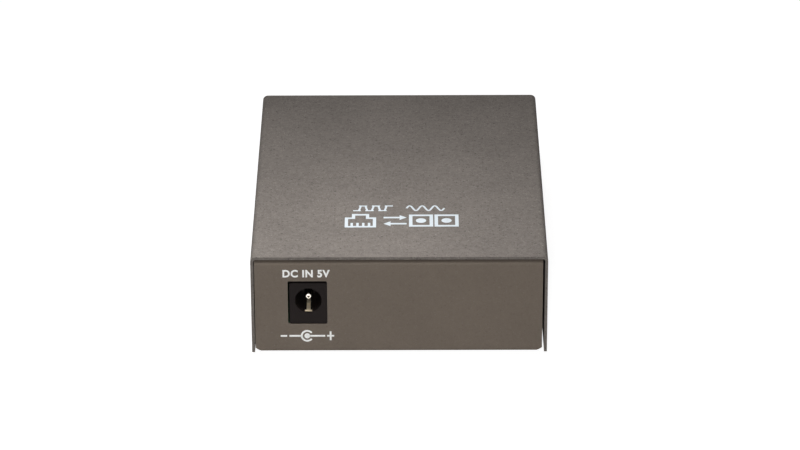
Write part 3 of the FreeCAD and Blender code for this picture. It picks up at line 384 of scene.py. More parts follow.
def make_coat_group():
    """Powder coat: round dark flecks of three sizes, pale specks, mottling and an orange-peel relief."""
    tree, given, result = node_group(
        "powder_coat",
        [("Colour", "Color", (0.2, 0.2, 0.2, 1)), ("Fleck Size", "Float", 0.0003), ("Flecks", "Float", 0.4),
         ("Mottle", "Float", 0.1), ("Roughness", "Float", 0.5), ("Relief", "Float", 0.4)],
        [("Colour", "Color"), ("Roughness", "Float"), ("Normal", "Vector")])
    cells = maths(tree, "DIVIDE", 1.0, given.outputs["Fleck Size"])
    place = tree.nodes.new("ShaderNodeTexCoord").outputs["Object"]
    # In each layer every cell has one dot, whose radius comes from the cell's own chance colour.
    dark = 0.0
    for share, strength in FLECK_LAYERS:
        scale = maths(tree, "MULTIPLY", cells, share)
        dots = add_node(tree, "TexVoronoi", {"feature": "F1"}, Vector=place, Scale=scale)
        chance = add_node(tree, "SeparateColor", None, Color=dots.outputs["Color"])
        reach = maths(tree, "MULTIPLY_ADD", chance.outputs["Red"], 0.26, 0.03)
        near = maths(tree, "SUBTRACT", reach, dots.outputs["Distance"])
        dot = maths(tree, "MULTIPLY", stepped(tree, near, -0.05, 0.05), strength)
        dark = maths(tree, "MAXIMUM", dark, dot)
    fine = object_noise(tree, cells, 3.0, 0.6)
    middle = object_noise(tree, maths(tree, "MULTIPLY", cells, 0.34), 3.0, 0.7)
    broad = object_noise(tree, 55.0, 3.0, 0.55)
    # Dark dots first, then pale specks, then broad and fine changes of tone.
    flecks = given.outputs["Flecks"]
    darker = mixed(tree, maths(tree, "MULTIPLY", dark, flecks), given.outputs["Colour"],
                   (0.012, 0.011, 0.011, 1))
    pale = maths(tree, "MULTIPLY", maths(tree, "MULTIPLY", stepped(tree, fine, 0.42, 0.28), flecks), 0.32)
    lighter = mixed(tree, pale, darker, (0.85, 0.80, 0.76, 1))
    cloud = maths(tree, "MULTIPLY", stepped(tree, broad, 0.30, 0.70, -1.0, 1.0), given.outputs["Mottle"])
    grain = maths(tree, "MULTIPLY", stepped(tree, middle, 0.30, 0.70, -0.22, 0.22), flecks)
    shade = maths(tree, "ADD", maths(tree, "ADD", cloud, grain), 1.0)
    colour = mixed(tree, 1.0, lighter, grey_of(tree, shade), "MULTIPLY")
    rough = maths(tree, "ADD", given.outputs["Roughness"], maths(tree, "MULTIPLY_ADD", fine, 0.16, -0.08))
    bump = add_node(tree, "Bump", None, Strength=given.outputs["Relief"], Distance=0.00008,
                    Height=maths(tree, "ADD", fine, maths(tree, "MULTIPLY", middle, 1.5)))
    return give_out(tree, result, colour, rough, bump)


def make_edge_group():
    """A mask that is 1 on outer edges and 0 on flats, from the bent normal of a small rounding."""
    tree, given, result = node_group("edge_mask", [("Radius", "Float", 0.0004)], [("Mask", "Float")])
    bent = add_node(tree, "Bevel", {"samples": 6}, Radius=given.outputs["Radius"])
    plain = tree.nodes.new("ShaderNodeNewGeometry")
    agree = add_node(tree, "VectorMath", {"operation": "DOT_PRODUCT"}, in0=bent.outputs[0],
                     in1=plain.outputs["True Normal"])
    mask = stepped(tree, agree.outputs["Value"], 0.995, 0.85)
    patchy = stepped(tree, object_noise(tree, 900.0, 3.0, 0.6), 0.35, 0.65, 0.35, 1.0)
    tree.links.new(maths(tree, "MULTIPLY", mask, patchy), result.inputs["Mask"])
    return tree


def make_mould_group():
    """Moulded plastic: a fine spark-eroded grain, faint flow marks and a roughness that follows them."""
    tree, given, result = node_group(
        "moulded_grain",
        [("Colour", "Color", (0.02, 0.02, 0.02, 1)), ("Grain Size", "Float", 0.00012),
         ("Roughness", "Float", 0.4), ("Relief", "Float", 0.2), ("Tone", "Float", 0.12)],
        [("Colour", "Color"), ("Roughness", "Float"), ("Normal", "Vector")])
    cells = maths(tree, "DIVIDE", 1.0, given.outputs["Grain Size"])
    grain = object_noise(tree, cells, 2.0, 0.5)
    flow = object_noise(tree, 260.0, 3.0, 0.6)
    tone = maths(tree, "MULTIPLY_ADD", maths(tree, "SUBTRACT", flow, 0.5), given.outputs["Tone"], 1.0)
    rough = maths(tree, "ADD", given.outputs["Roughness"], maths(tree, "MULTIPLY_ADD", flow, 0.2, -0.1))
    bump = add_node(tree, "Bump", None, Strength=given.outputs["Relief"], Distance=0.00001, Height=grain)
    colour = mixed(tree, 1.0, given.outputs["Colour"], grey_of(tree, tone), "MULTIPLY")
    return give_out(tree, result, colour, rough, bump)


def make_metal_group():
    """Plated metal: drawn lines along one axis, small stains and a roughness between bright and dull."""
    tree, given, result = node_group(
        "plated_finish",
        [("Colour", "Color", (0.8, 0.8, 0.8, 1)), ("Dull Colour", "Color", (0.5, 0.48, 0.45, 1)),
         ("Bright", "Float", 0.15), ("Dull", "Float", 0.4), ("Lines", "Vector", (1.0, 0.05, 1.0)),
         ("Relief", "Float", 0.1)],
        [("Colour", "Color"), ("Roughness", "Float"), ("Normal", "Vector")])
    place = tree.nodes.new("ShaderNodeTexCoord").outputs["Object"]
    # Noise whose coordinates are shrunk along one axis is drawn out along it.
    drawn = add_node(tree, "VectorMath", {"operation": "MULTIPLY"}, in0=place, in1=given.outputs["Lines"])
    lines = add_node(tree, "TexNoise", None, Vector=drawn.outputs[0], Scale=9000.0, Detail=2.0).outputs[0]
    stain = stepped(tree, object_noise(tree, 480.0, 4.0, 0.6), 0.42, 0.68)
    rough = stepped(tree, stain, 0.0, 1.0, given.outputs["Bright"], given.outputs["Dull"])
    rough = maths(tree, "ADD", rough, maths(tree, "MULTIPLY_ADD", lines, 0.1, -0.05))
    bump = add_node(tree, "Bump", None, Strength=given.outputs["Relief"], Distance=0.000004, Height=lines)
    colour = mixed(tree, maths(tree, "MULTIPLY", stain, 0.6), given.outputs["Colour"],
                   given.outputs["Dull Colour"])
    return give_out(tree, result, colour, rough, bump)


COAT = make_coat_group()
EDGE = make_edge_group()
MOULD = make_mould_group()
METAL = make_metal_group()


# -------------------- materials

def rgb(red, green, blue):
    """A colour given as it looks on a screen, 0 to 255, in linear values."""
    screen = np.array([red, green, blue]) / 255
    linear = np.where(screen <= 0.04045, screen / 12.92, ((screen + 0.055) / 1.055) ** 2.4)
    return (*linear.tolist(), 1.0)


def base_material(name, **values):
    """A material with one Principled shader; the values go on the shader's own sockets."""
    material = bpy.data.materials.new(name)
    material.use_nodes = True
    shader = material.node_tree.nodes["Principled BSDF"]
    for key, value in values.items():
        shader.inputs[key.replace("_", " ")].default_value = value
    return material, material.node_tree, shader


def use_group(tree, group, shader=None, **values):
    """A group in a material with its own values; its outputs feed the shader's inputs of the same purpose."""
    node = tree.nodes.new("ShaderNodeGroup")
    node.node_tree = group
    for key, value in values.items():
        node.inputs[key.replace("_", " ")].default_value = value
    if shader:
        tree.links.new(node.outputs["Colour"], shader.inputs["Base Color"])
        tree.links.new(node.outputs["Roughness"], shader.inputs["Roughness"])
        tree.links.new(node.outputs["Normal"], shader.inputs["Normal"])
    return node


FLECK_SIZE = 0.30 * MM
# A paler coat for the outer edges: a painted edge highlight.
EDGE_HIGHLIGHT_TINT = rgb(136, 128, 119)


def coated(name, colour, flecks, mottle, roughness, relief, edge_highlight_share):
    """Powder-coated steel, its outer edges made paler by a painted highlight."""
    material, tree, shader = base_material(name, Specular_IOR_Level=0.12)
    coat = use_group(tree, COAT, shader, Colour=colour, Fleck_Size=FLECK_SIZE, Flecks=flecks, Mottle=mottle,
                     Roughness=roughness, Relief=relief)
    edge = use_group(tree, EDGE, Radius=0.00035)
    # Outer edges are mixed towards the paler coat: a painted highlight on the edges.
    painted_edge_light = maths(tree, "MULTIPLY", edge.outputs["Mask"], edge_highlight_share)
    tree.links.new(mixed(tree, painted_edge_light, coat.outputs["Colour"], EDGE_HIGHLIGHT_TINT), shader.inputs["Base Color"])
    return material


def moulded(name, colour, roughness, grain=0.00012, relief=0.2, **values):
    """Moulded plastic, ceramic or rubber with its own grain size, in metres, and relief."""
    material, tree, shader = base_material(name, **{"Specular_IOR_Level": 0.3, **values})
    use_group(tree, MOULD, shader, Colour=colour, Grain_Size=grain, Roughness=roughness, Relief=relief,
              Tone=0.3)
    return material


DRAWN_ALONG_Y = (1.0, 0.05, 1.0)
DRAWN_ALONG_Z = (1.0, 1.0, 0.05)
NOT_DRAWN = (1.0, 1.0, 1.0)


def plated(name, colour, dull_colour, bright, dull, lines=DRAWN_ALONG_Y, relief=0.1):
    """Metal that is bright in places and dull in others, drawn along the axis where lines is small."""
    material, tree, shader = base_material(name, Metallic=1.0)
    use_group(tree, METAL, shader, Colour=colour, Dull_Colour=dull_colour, Bright=bright, Dull=dull,
              Lines=lines, Relief=relief)
    return material


def printed(name, colour):
    """Screen-printed ink: a thin coat through which the coat's grain shows in places."""
    material, tree, shader = base_material(name, Specular_IOR_Level=0.3)
    use_group(tree, COAT, shader, Colour=colour, Fleck_Size=0.00028, Flecks=0.10, Mottle=0.03, Roughness=0.55,
              Relief=0.35)
    return material


def board_material():
    """Green solder mask over copper tracks, with short parallel runs.

    Square cells of the plan run along x or along y by chance, each has eight lanes, and about half of the
    lanes hold a track.
    """
    material, tree, shader = base_material("solder_mask", Coat_Weight=0.35, Coat_Roughness=0.18)
    place = tree.nodes.new("ShaderNodeTexCoord").outputs["Object"]
    parts = add_node(tree, "SeparateXYZ", None, Vector=place)
    x, y = parts.outputs["X"], parts.outputs["Y"]
    # Which way a cell's lanes run.
    cell = 5.2 * MM
    column = maths(tree, "FLOOR", maths(tree, "DIVIDE", x, cell))
    row = maths(tree, "FLOOR", maths(tree, "DIVIDE", y, cell))
    key = add_node(tree, "CombineXYZ", None, X=column, Y=row)
    chance = add_node(tree, "TexWhiteNoise", {"noise_dimensions": "3D"}, Vector=key.outputs[0])
    turned = maths(tree, "GREATER_THAN", chance.outputs["Value"], 0.5)
    cross = maths(tree, "ADD", maths(tree, "MULTIPLY", x, turned),
                  maths(tree, "MULTIPLY", y, maths(tree, "SUBTRACT", 1.0, turned)))
    # Which lanes hold a track.
    lane_place = maths(tree, "DIVIDE", cross, cell / 8)
    track = maths(tree, "LESS_THAN", maths(tree, "FRACT", lane_place), 0.42)
    lanes = maths(tree, "FLOOR", lane_place)
    lane_key = add_node(tree, "CombineXYZ", None, X=lanes, Y=column, Z=row)
    lane_chance = add_node(tree, "TexWhiteNoise", {"noise_dimensions": "3D"}, Vector=lane_key.outputs[0])
    track = maths(tree, "MULTIPLY", track, maths(tree, "GREATER_THAN", lane_chance.outputs["Value"], 0.45))
    weave = object_noise(tree, 2600.0, 2.0)
    mask = mixed(tree, stepped(tree, weave, 0.3, 0.7), rgb(12, 46, 29), rgb(15, 53, 34))
    green = mixed(tree, track, mask, rgb(25, 78, 48))
    tree.links.new(green, shader.inputs["Base Color"])
    tree.links.new(stepped(tree, weave, 0.2, 0.8, 0.30, 0.42), shader.inputs["Roughness"])
    bump = add_node(tree, "Bump", None, Strength=0.5, Distance=0.00003, Height=track)
    tree.links.new(bump.outputs[0], shader.inputs["Normal"])
    return material


# The cover's coat is the panel's paint made greyer and a little paler: a painted sheen for light reflected
# off the top.
cover_coat = coated("cover_coat", rgb(117, 111, 106), flecks=0.54, mottle=0.05, roughness=0.88, relief=0.55,
                    edge_highlight_share=0.35)
panel_coat = coated("panel_coat", rgb(116, 106, 96), flecks=0.12, mottle=0.03, roughness=0.80, relief=0.25,
                    edge_highlight_share=0.45)
black_plastic = moulded("black_plastic", rgb(32, 27, 26), roughness=0.40, relief=0.35,
                        Specular_IOR_Level=0.07)
holder_plastic = moulded("holder_plastic", rgb(36, 36, 37), roughness=0.48)
package_plastic = moulded("package_plastic", rgb(38, 38, 40), roughness=0.52, grain=0.00008, relief=0.5)
ferrite_black = moulded("ferrite_black", rgb(52, 50, 50), roughness=0.62, grain=0.00016, relief=0.7)
foot_rubber = moulded("foot_rubber", rgb(34, 34, 35), roughness=0.72, grain=0.00022, relief=0.6)
sleeve_plastic = moulded("sleeve_plastic", rgb(226, 226, 216), roughness=0.34, relief=0.15,
                         Subsurface_Weight=0.12, Subsurface_Radius=(0.001, 0.001, 0.0008))
switch_plastic = moulded("switch_plastic", rgb(26, 66, 134), roughness=0.38)
lever_plastic = moulded("lever_plastic", rgb(236, 236, 230), roughness=0.32, Subsurface_Weight=0.1,
                        Subsurface_Radius=(0.0006, 0.0006, 0.0005))
lamp_plastic = moulded("lamp_plastic", rgb(176, 212, 150), roughness=0.16, relief=0.08,
                       Transmission_Weight=0.55, IOR=1.49)
fuse_green = moulded("fuse_green", rgb(46, 84, 50), roughness=0.45)
fired_ceramic = moulded("fired_ceramic", rgb(176, 142, 104), roughness=0.40)
can_sleeve = moulded("can_sleeve", rgb(34, 40, 62), roughness=0.30, relief=0.1)
bright_nickel = plated("bright_nickel", rgb(196, 192, 184), rgb(160, 154, 144), bright=0.18, dull=0.36)
tray_plating = plated("tray_plating", rgb(214, 212, 208), rgb(178, 175, 170), bright=0.22, dull=0.42)
pin_nickel = plated("pin_nickel", rgb(240, 236, 228), rgb(214, 205, 190), bright=0.06, dull=0.16, relief=0.05)
spring_metal = plated("spring_metal", rgb(250, 238, 214), rgb(240, 222, 190), bright=0.62, dull=0.80)
tinned_metal = plated("tinned_metal", rgb(212, 208, 198), rgb(166, 161, 150), bright=0.18, dull=0.46,
                      lines=DRAWN_ALONG_Z)
gold_contact = plated("gold_contact", rgb(228, 186, 98), rgb(198, 152, 74), bright=0.10, dull=0.26)
solder = plated("solder", rgb(204, 204, 202), rgb(150, 150, 148), bright=0.12, dull=0.38,
                lines=NOT_DRAWN, relief=0.2)
dark_screw = plated("dark_screw", rgb(74, 72, 72), rgb(48, 46, 46), bright=0.28, dull=0.50,
                    lines=NOT_DRAWN, relief=0.3)
enamel_wire = plated("enamel_wire", rgb(196, 112, 66), rgb(150, 76, 42), bright=0.16, dull=0.30,
                     lines=NOT_DRAWN, relief=0.05)
white_ink = printed("white_ink", rgb(254, 254, 252))
pale_ink = printed("pale_ink", rgb(206, 214, 220))
grey_ink = printed("grey_ink", rgb(196, 196, 192))
solder_mask = board_material()


# -------------------- case

LEFTWARD = (-1, 0, 0)
RIGHTWARD = (1, 0, 0)
UPWARD = (0, 0, 1)
BACKWARD = (0, 1, 0)

dress("cover", cover_coat, 0.14 * MM, segments=3)
dress("base_tray", panel_coat, 0.14 * MM, segments=3)

SCREW_SEGMENTS = 96
SCREW_CROWN = 0.02 * MM
SHANK_RADIUS = 1.42 * MM
THREAD_PITCH = 0.5 * MM
THREAD_DEPTH = 0.10 * MM


def cross_recess(across, up, width, reach):
    """1 inside a cross of two equal bars, 0 outside, with walls that slope over a fifth of the width."""
    slope = width * 0.2

    def bar(along, beside):
        """The same for one of the two bars."""
        thin = np.clip((width / 2 - np.abs(beside)) / slope, 0, 1)
        return thin * np.clip((reach - np.abs(along)) / slope, 0, 1)

    return np.maximum(bar(up, across), bar(across, up))


def countersunk_screw(centre, direction, head_radius, length):
    """A cross-recessed screw, its face's middle at the centre and its point against the direction.

    Face: z = crown (1 - (r/R)^2) - depth * cross - 0.05 R (r/R)^12. Then the head tapers in to the shank.
    """
    # Fine rings over the recess, coarse ones beyond it, and two close ones at the rim.
    radius = np.concatenate([np.linspace(0, 0.62, 34), np.linspace(0.66, 0.97, 6), [0.99, 1.0]]) * head_radius
    turn = np.linspace(0, 2 * pi, SCREW_SEGMENTS, endpoint=False)
    r, t = np.meshgrid(radius, turn, indexing="ij")
    across, up = r * np.cos(t), r * np.sin(t)
    reach = head_radius * 0.56
    bore = cross_recess(across, up, head_radius * 0.30, reach)
    depth = head_radius * 0.55 * (1 - 0.5 * r / reach)
    height = SCREW_CROWN * (1 - (r / head_radius) ** 2) - bore * np.maximum(depth, 0)
    height = height - head_radius * 0.05 * (r / head_radius) ** 12
    face = skin_of(placed(np.stack([across, up, height], -1), centre, direction))
    neck = SHANK_RADIUS - head_radius
    waist = [(head_radius, -head_radius * 0.05), (SHANK_RADIUS, neck)]
    threads = np.arange(neck - THREAD_PITCH / 2, -length, -THREAD_PITCH / 4)
    groove = np.where(np.arange(len(threads)) % 2, THREAD_DEPTH, 0.0)
    shank = list(zip(SHANK_RADIUS - groove, threads)) + [(SHANK_RADIUS * 0.6, -length), (0.0, -length)]
    return joined([face, lathe(waist + shank, centre, direction, SCREW_SEGMENTS)])


screws = []
for side_x, side_y in QUARTERS:
    low, high = quarter("cover_screws", side_x, side_y)
    face_x = (high[0] if side_x > 0 else low[0]) - side_x * SCREW_CROWN
    spot = (face_x, (low[1] + high[1]) / 2, (low[2] + high[2]) / 2)
    head_radius = (high[2] - low[2]) / 2
    screws.append(countersunk_screw(spot, (side_x, 0, 0), head_radius, length=high[0] - low[0]))
new_piece("cover_screws_finished", joined(screws), dark_screw, slot=SLOTS["cover_screws"],
          stands_for=("cover_screws",))


def rubber_foot(low, high):
    """A moulded foot with rounded rims and a shallow dimple in its underside."""
    radius = (high[0] - low[0]) / 2
    dimple = 0.25 * MM
    hollow = [(0.0, dimple), (radius * 0.52, dimple), (radius * 0.60, 0.02 * MM), (radius * 0.66, 0.0)]
    pad = rounded_profile(radius, 0.0, high[2] - low[2], 0.45 * MM)[1:]
    spot = ((low[0] + high[0]) / 2, (low[1] + high[1]) / 2, low[2])
    return lathe(np.concatenate([hollow, pad]), spot, UPWARD, 64)


feet = [rubber_foot(*quarter("rubber_feet", *side)) for side in QUARTERS]
new_piece("rubber_feet_finished", joined(feet), foot_rubber, slot=SLOTS["rubber_feet"],
          stands_for=("rubber_feet",))


# -------------------- prints on the case

INK = 0.02 * MM
RAISED_INK = INK * 1.02

jack_low, jack_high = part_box("dc_jack_body")
jack_x = (jack_low.x + jack_high.x) / 2
front_face, rear_face = (corner.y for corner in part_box("base_tray"))
cover_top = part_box("cover")[1].z


def polarity_sign():
    """Minus, line, open ring round a dot, line and plus, from left to right along x.

    The plus is one outline: three corners of an arm, turned by a quarter four times.
    """
    line = 0.46 * MM

    def bar(start, end):
        """A flat bar along x, its ends in millimetres."""
        return stroke([(start * MM, 0), (end * MM, 0)], line, INK)

    ring = stroke(circle_path((0, 0), 1.34 * MM, 38, 322, 30), line, INK)
    dot = plate(circle_path((0, 0), 0.70 * MM, 0, 345, 24), INK)
    plus_x = 5.61 * MM
    half = line / 2
    arms = []
    for along, reach in ((1, 0.85 * MM), (1j, 1.21 * MM), (-1, 0.85 * MM), (-1j, 1.21 * MM)):
        for corner in (reach - 1j * half, reach + 1j * half, half + 1j * half):
            spot = along * corner
            arms.append((plus_x + spot.real, spot.imag))
    lines = [bar(-4.30, -1.45), bar(0.55, 4.30), bar(-6.42, -4.84)]
    return joined([ring, dot, *lines, plate(arms, INK)])


def input_words(width):
    """The note over the inlet, spread to its width and centred on the origin."""
    points, faces = lettering("DC IN 5V", 1.84 * MM, INK, tracking=1.10, weight=0.10 * MM)
    flat = points[:, :2]
    flat[:, 0] *= width / np.ptp(flat[:, 0])
    flat -= (flat.max(0) + flat.min(0)) / 2
    return points, faces


def rear_print(name, shape, x, z):
    """A print on the rear wall, read from behind."""
    new_piece(name, laid(shape, (x, rear_face, z), LEFTWARD, UPWARD), white_ink)


rear_print("rating_print", input_words(width=11.3 * MM), x=jack_x + 0.4 * MM, z=22.55 * MM)
rear_print("polarity_print", polarity_sign(), x=jack_x + 0.35 * MM, z=5.82 * MM)


def frame_lines(left, right, low, high, width):
    """Four bars round a rectangle; two are a little higher, so that they cover the others at the corners."""
    half = width / 2
    bars = [stroke([(left - half, level), (right + half, level)], width, INK) for level in (low, high)]
    return bars + [stroke([(x, low - half), (x, high + half)], width, RAISED_INK) for x in (left, right)]


def twin_port_sign(x):
    """Two square ports side by side, each with a ring in it."""
    parts = []
    for middle in (x - 3.1 * MM, x + 3.1 * MM):
        parts += frame_lines(middle - 2.5 * MM, middle + 2.5 * MM, -2.9 * MM, 2.9 * MM, 0.85 * MM)
        parts.append(plate(circle_path((middle, 0), 1.25 * MM, 0, 345, 24), INK))
    return parts


def plug_socket_sign(x):
    """A square socket with a step for the latch below and a comb of contacts above."""
    outline = np.array([(-3.4, 3.3), (-3.4, -1.4), (-1.7, -1.4), (-1.7, -3.3), (1.7, -3.3), (1.7, -1.4),
                        (3.4, -1.4), (3.4, 3.3)]) * MM
    width = 0.8 * MM
    parts = []
    for start, end in zip(outline, np.roll(outline, -1, axis=0)):
        lean = np.sign(end - start) * width / 2
        parts.append(stroke(np.array([start - lean, end + lean]) + (x, 0), width,
                            INK if lean[0] else RAISED_INK))
    for tooth in np.linspace(-2.1, 2.1, 4):
        parts.append(stroke([(x + tooth * MM, 1.2 * MM), (x + tooth * MM, 3.3 * MM)], 0.6 * MM, INK * 0.96))
    return parts


def arrow_sign(x, y, length, heading):
    """A bar with a triangular head at its end; heading 1 points along x, -1 against it."""
    half = length / 2 * heading
    head = 1.7 * MM * heading
    shaft = stroke([(x - half, y), (x + half - head, y)], 0.8 * MM, INK)
    tip = [(x + half - head, y - 1.3 * MM), (x + half, y), (x + half - head, y + 1.3 * MM)]
    return [shaft, plate(tip if heading > 0 else tip[::-1], RAISED_INK)]


def wave_sign(width):
    """Three periods of a sine wave on the left: y = 1.35 sin(6 pi t), t from 0 to 1."""
    x = np.linspace(-11.0, -1.8, 60)
    return [stroke(np.column_stack([x, 1.35 * np.sin((x + 11.0) / 9.2 * 3 * 2 * pi)]) * MM, width, INK)]


def pulse_sign(width):
    """A square wave on the right, with five steps, as bars that overlap at their ends."""
    pulse = [(1.8, -1.3)]
    for step, edge in enumerate(np.linspace(3.3, 9.6, 5)):
        level, other = (-1.3, 1.3) if step % 2 == 0 else (1.3, -1.3)
        pulse += [(edge - 0.02, level), (edge + 0.02, other)]
    pulse.append((11.0, pulse[-1][1]))
    pulse = np.array(pulse) * MM
    bars = []
    for start, end in zip(pulse[:-1], pulse[1:]):
        lean = np.sign(end - start) * width / 2
        level_bar = abs(end[0] - start[0]) > MM
        bars.append(stroke([start - lean, end + lean], width, INK if level_bar else RAISED_INK))
    return bars


def top_print(name, parts, x, y):
    """A print on the cover, read from the front."""
    new_piece(name, laid(joined(parts), (x, y, cover_top), RIGHTWARD, BACKWARD), pale_ink)


top_print("top_sign_print",
          twin_port_sign(-8.2 * MM) + arrow_sign(1.2 * MM, 1.7 * MM, 5.6 * MM, 1)
          + arrow_sign(1.2 * MM, -1.7 * MM, 5.6 * MM, -1) + plug_socket_sign(9.6 * MM),
          x=-0.2 * MM, y=27.45 * MM)
top_print("top_wave_print", wave_sign(0.5 * MM) + pulse_sign(0.5 * MM), x=0.0, y=20.55 * MM)


def front_words(name, words, x, z, height):
    """Words or figures on the front wall."""
    shape = lettering(words, height, INK, tracking=1.05, weight=0.03 * MM)
    new_piece(name, laid(shape, (x, front_face, z), RIGHTWARD, UPWARD), white_ink)


# -------------------- power inlet

dress("dc_jack_body", black_plastic, 0.22 * MM, segments=3)
dress("dc_jack_spring", spring_metal, 0.05 * MM)
dress("dc_jack_terminals", tinned_metal, 0.08 * MM)


def inlet_pin(low, high):
    """The centre pin, with a rounded nose and a narrow bore in it.

    Nose: r = R (0.30 + 0.70 cos t), y = reach (sin t - 1), with t from 0 to a quarter turn.
    """
    radius = (high.x - low.x) / 2
    reach = 0.75 * MM
    t = np.linspace(0, pi / 2, 12)
    nose = np.stack([radius * (0.30 + 0.70 * np.cos(t)), reach * (np.sin(t) - 1)], -1)
    bore = [(0.27 * MM, -0.05 * MM), (0.25 * MM, -1.40 * MM), (0.0, -1.50 * MM)]
    shaft = [(0.0, low.y - high.y), (radius, low.y - high.y)]
    return lathe(np.concatenate([shaft, nose, bore]), (jack_x, high.y, (low.z + high.z) / 2), BACKWARD, 64)


pin = inlet_pin(*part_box("dc_jack_pin"))
new_piece("dc_jack_pin_finished", pin, pin_nickel, slot=SLOTS["dc_jack_pin"], stands_for=("dc_jack_pin",))


# -------------------- sockets, lamps and switch

dress("ethernet_jack_body", black_plastic, 0.12 * MM)
dress("ethernet_jack_shield", bright_nickel, 0.06 * MM)
dress("ethernet_jack_contacts", gold_contact, 0.06 * MM)
dress("ethernet_jack_leads", tinned_metal, 0.06 * MM)
dress("fibre_transceiver_body", holder_plastic, 0.15 * MM)
dress("fibre_ferrule_sleeves", sleeve_plastic, 0.12 * MM)
dress("fibre_latch_arms", sleeve_plastic, 0.12 * MM)
dress("fibre_transceiver_pins", tinned_metal, 0.06 * MM)
dress("led_holder", holder_plastic, 0.2 * MM)
dress("status_leds", lamp_plastic, 0.22 * MM, segments=3)
dress("led_leads", tinned_metal, 0.06 * MM)
dress("dip_switch_body", switch_plastic, 0.14 * MM)
dress("dip_switch_pins", tinned_metal, 0.06 * MM)
for number in LEVERS:
    dress(f"dip_lever_{number}", lever_plastic, 0.12 * MM, body=f"lever_{number}")

dip_low, dip_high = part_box("dip_switch_body")
for number in LEVERS:
    lever_low, lever_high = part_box(f"dip_lever_{number}")
    front_words(f"dip_number_{number}_print", str(number), (lever_low.x + lever_high.x) / 2,
                lever_low.z - 2.1 * MM, height=1.3 * MM)
front_words("switch_on_print", "ON", (dip_low.x + dip_high.x) / 2, dip_high.z + 1.6 * MM, height=1.5 * MM)


# -------------------- board and what stands on it

board = nodes["circuit_board"]
board.data.materials.clear()
board.data.materials.append(solder_mask)
board_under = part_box("circuit_board")[0].z

dress("board_standoffs", tray_plating, 0.15 * MM)
dress("board_screws", tray_plating, 0.25 * MM, segments=3)
for package in ("network_transformer", "converter_chip", "memory_chip", "voltage_regulator"):
    dress(package, package_plastic, 0.12 * MM)
for leads in ("network_transformer_leads", "converter_chip_leads", "memory_chip_leads", "regulator_leads"):
    dress(leads, tinned_metal, 0.03 * MM, segments=1)
dress("clock_crystal", bright_nickel, 0.3 * MM)
dress("inductor_base", package_plastic, 0.1 * MM)
dress("power_inductor", ferrite_black, 0.15 * MM)
dress("input_fuse", fuse_green, 0.1 * MM)
dress("ceramic_capacitors", fired_ceramic, 0.08 * MM)
dress("chip_resistors", package_plastic, 0.05 * MM)


def dot_marks():
    """A round mark by the first lead of each package."""
    marks = []
    for package in ("network_transformer", "converter_chip", "memory_chip"):
        low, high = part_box(package)
        inset = min(high.x - low.x, high.y - low.y) * 0.16
        mark = plate(circle_path((0, 0), inset * 0.42, 0, 340, 18), INK)
        marks.append(laid(mark, (low.x + inset, low.y + inset, high.z), RIGHTWARD, BACKWARD))
    return joined(marks)


new_piece("package_marks", dot_marks(), grey_ink)


def solid_ends(node):
    """Lowest and highest corner of each separate solid of a node, in the order of their x and y.

    Points that an edge joins, straight or through others, belong to one solid.
    """
    work = bmesh.new()
    work.from_mesh(nodes[node].data)
    bmesh.ops.remove_doubles(work, verts=work.verts, dist=MERGE_GAP)
    todo = set(work.verts)
    found = []
    while todo:
        island = [todo.pop()]
        reach = list(island)
        while reach:
            for edge in reach.pop().link_edges:
                for vertex in edge.verts:
                    if vertex in todo:
                        todo.discard(vertex)
                        island.append(vertex)
                        reach.append(vertex)
        spots = np.array([vertex.co for vertex in island])
        found.append((spots.min(0), spots.max(0)))
    work.free()
    return sorted(found, key=lambda ends: (round(float(ends[0][0]), 5), round(float(ends[0][1]), 5)))


CAN_BEAD = 1.4 * MM
CAN_SHOULDER = 0.6 * MM
CAN_SEGMENTS = 64
TOP_RECESS = 0.1 * MM
TOP_GAP = 0.12 * MM


def can_sleeve_shape(radius, top, spot):
    """A capacitor's shrunk sleeve: foot, the bead rolled into the can, a quarter-circle shoulder, rim."""
    pinch = [(radius - 0.02 * MM, CAN_BEAD - 0.7 * MM), (radius - 0.35 * MM, CAN_BEAD - 0.25 * MM),
             (radius - 0.45 * MM, CAN_BEAD), (radius - 0.35 * MM, CAN_BEAD + 0.25 * MM),
             (radius - 0.02 * MM, CAN_BEAD + 0.7 * MM)]
    turn = np.linspace(0, pi / 2, 6)
    inward = CAN_SHOULDER * (1 - np.cos(turn))
    downward = CAN_SHOULDER * (1 - np.sin(turn))
    shoulder = np.stack([radius - inward, top - downward], -1)
    foot = [(0.0, 0.0), (radius - 0.4 * MM, 0.0), (radius - 0.02 * MM, 0.4 * MM)]
    rim = [(radius * 0.78, top), (radius * 0.78, top - TOP_RECESS), (0.0, top - TOP_RECESS)]
    return lathe(foot + pinch + shoulder.tolist() + rim, spot, UPWARD, CAN_SEGMENTS)


def can_top_shape(radius, top, spot):
    """The bare metal disc in the top of a capacitor."""
    disc = [(0.0, 0.0), (radius * 0.76, 0.0), (radius * 0.76, 0.14 * MM), (radius * 0.70, 0.18 * MM),
            (0.0, 0.18 * MM)]
    return lathe(disc, (spot[0], spot[1], spot[2] + top - TOP_RECESS), UPWARD)


sleeves = []
tops = []
for low, high in solid_ends("bulk_capacitors"):
    spot = ((low[0] + high[0]) / 2, (low[1] + high[1]) / 2, low[2])
    radius = (high[0] - low[0]) / 2
    top = high[2] - low[2] - TOP_GAP
    sleeves.append(can_sleeve_shape(radius, top, spot))
    tops.append(can_top_shape(radius, top, spot))
new_piece("capacitor_sleeves", joined(sleeves), can_sleeve, slot=SLOTS["bulk_capacitors"],
          stands_for=("bulk_capacitors",))
new_piece("capacitor_tops", joined(tops), tinned_metal, slot=SLOTS["bulk_capacitors"])


WIRE = 0.32 * MM
WIRE_TURNS = 5
CORE_WALL = 0.55 * MM


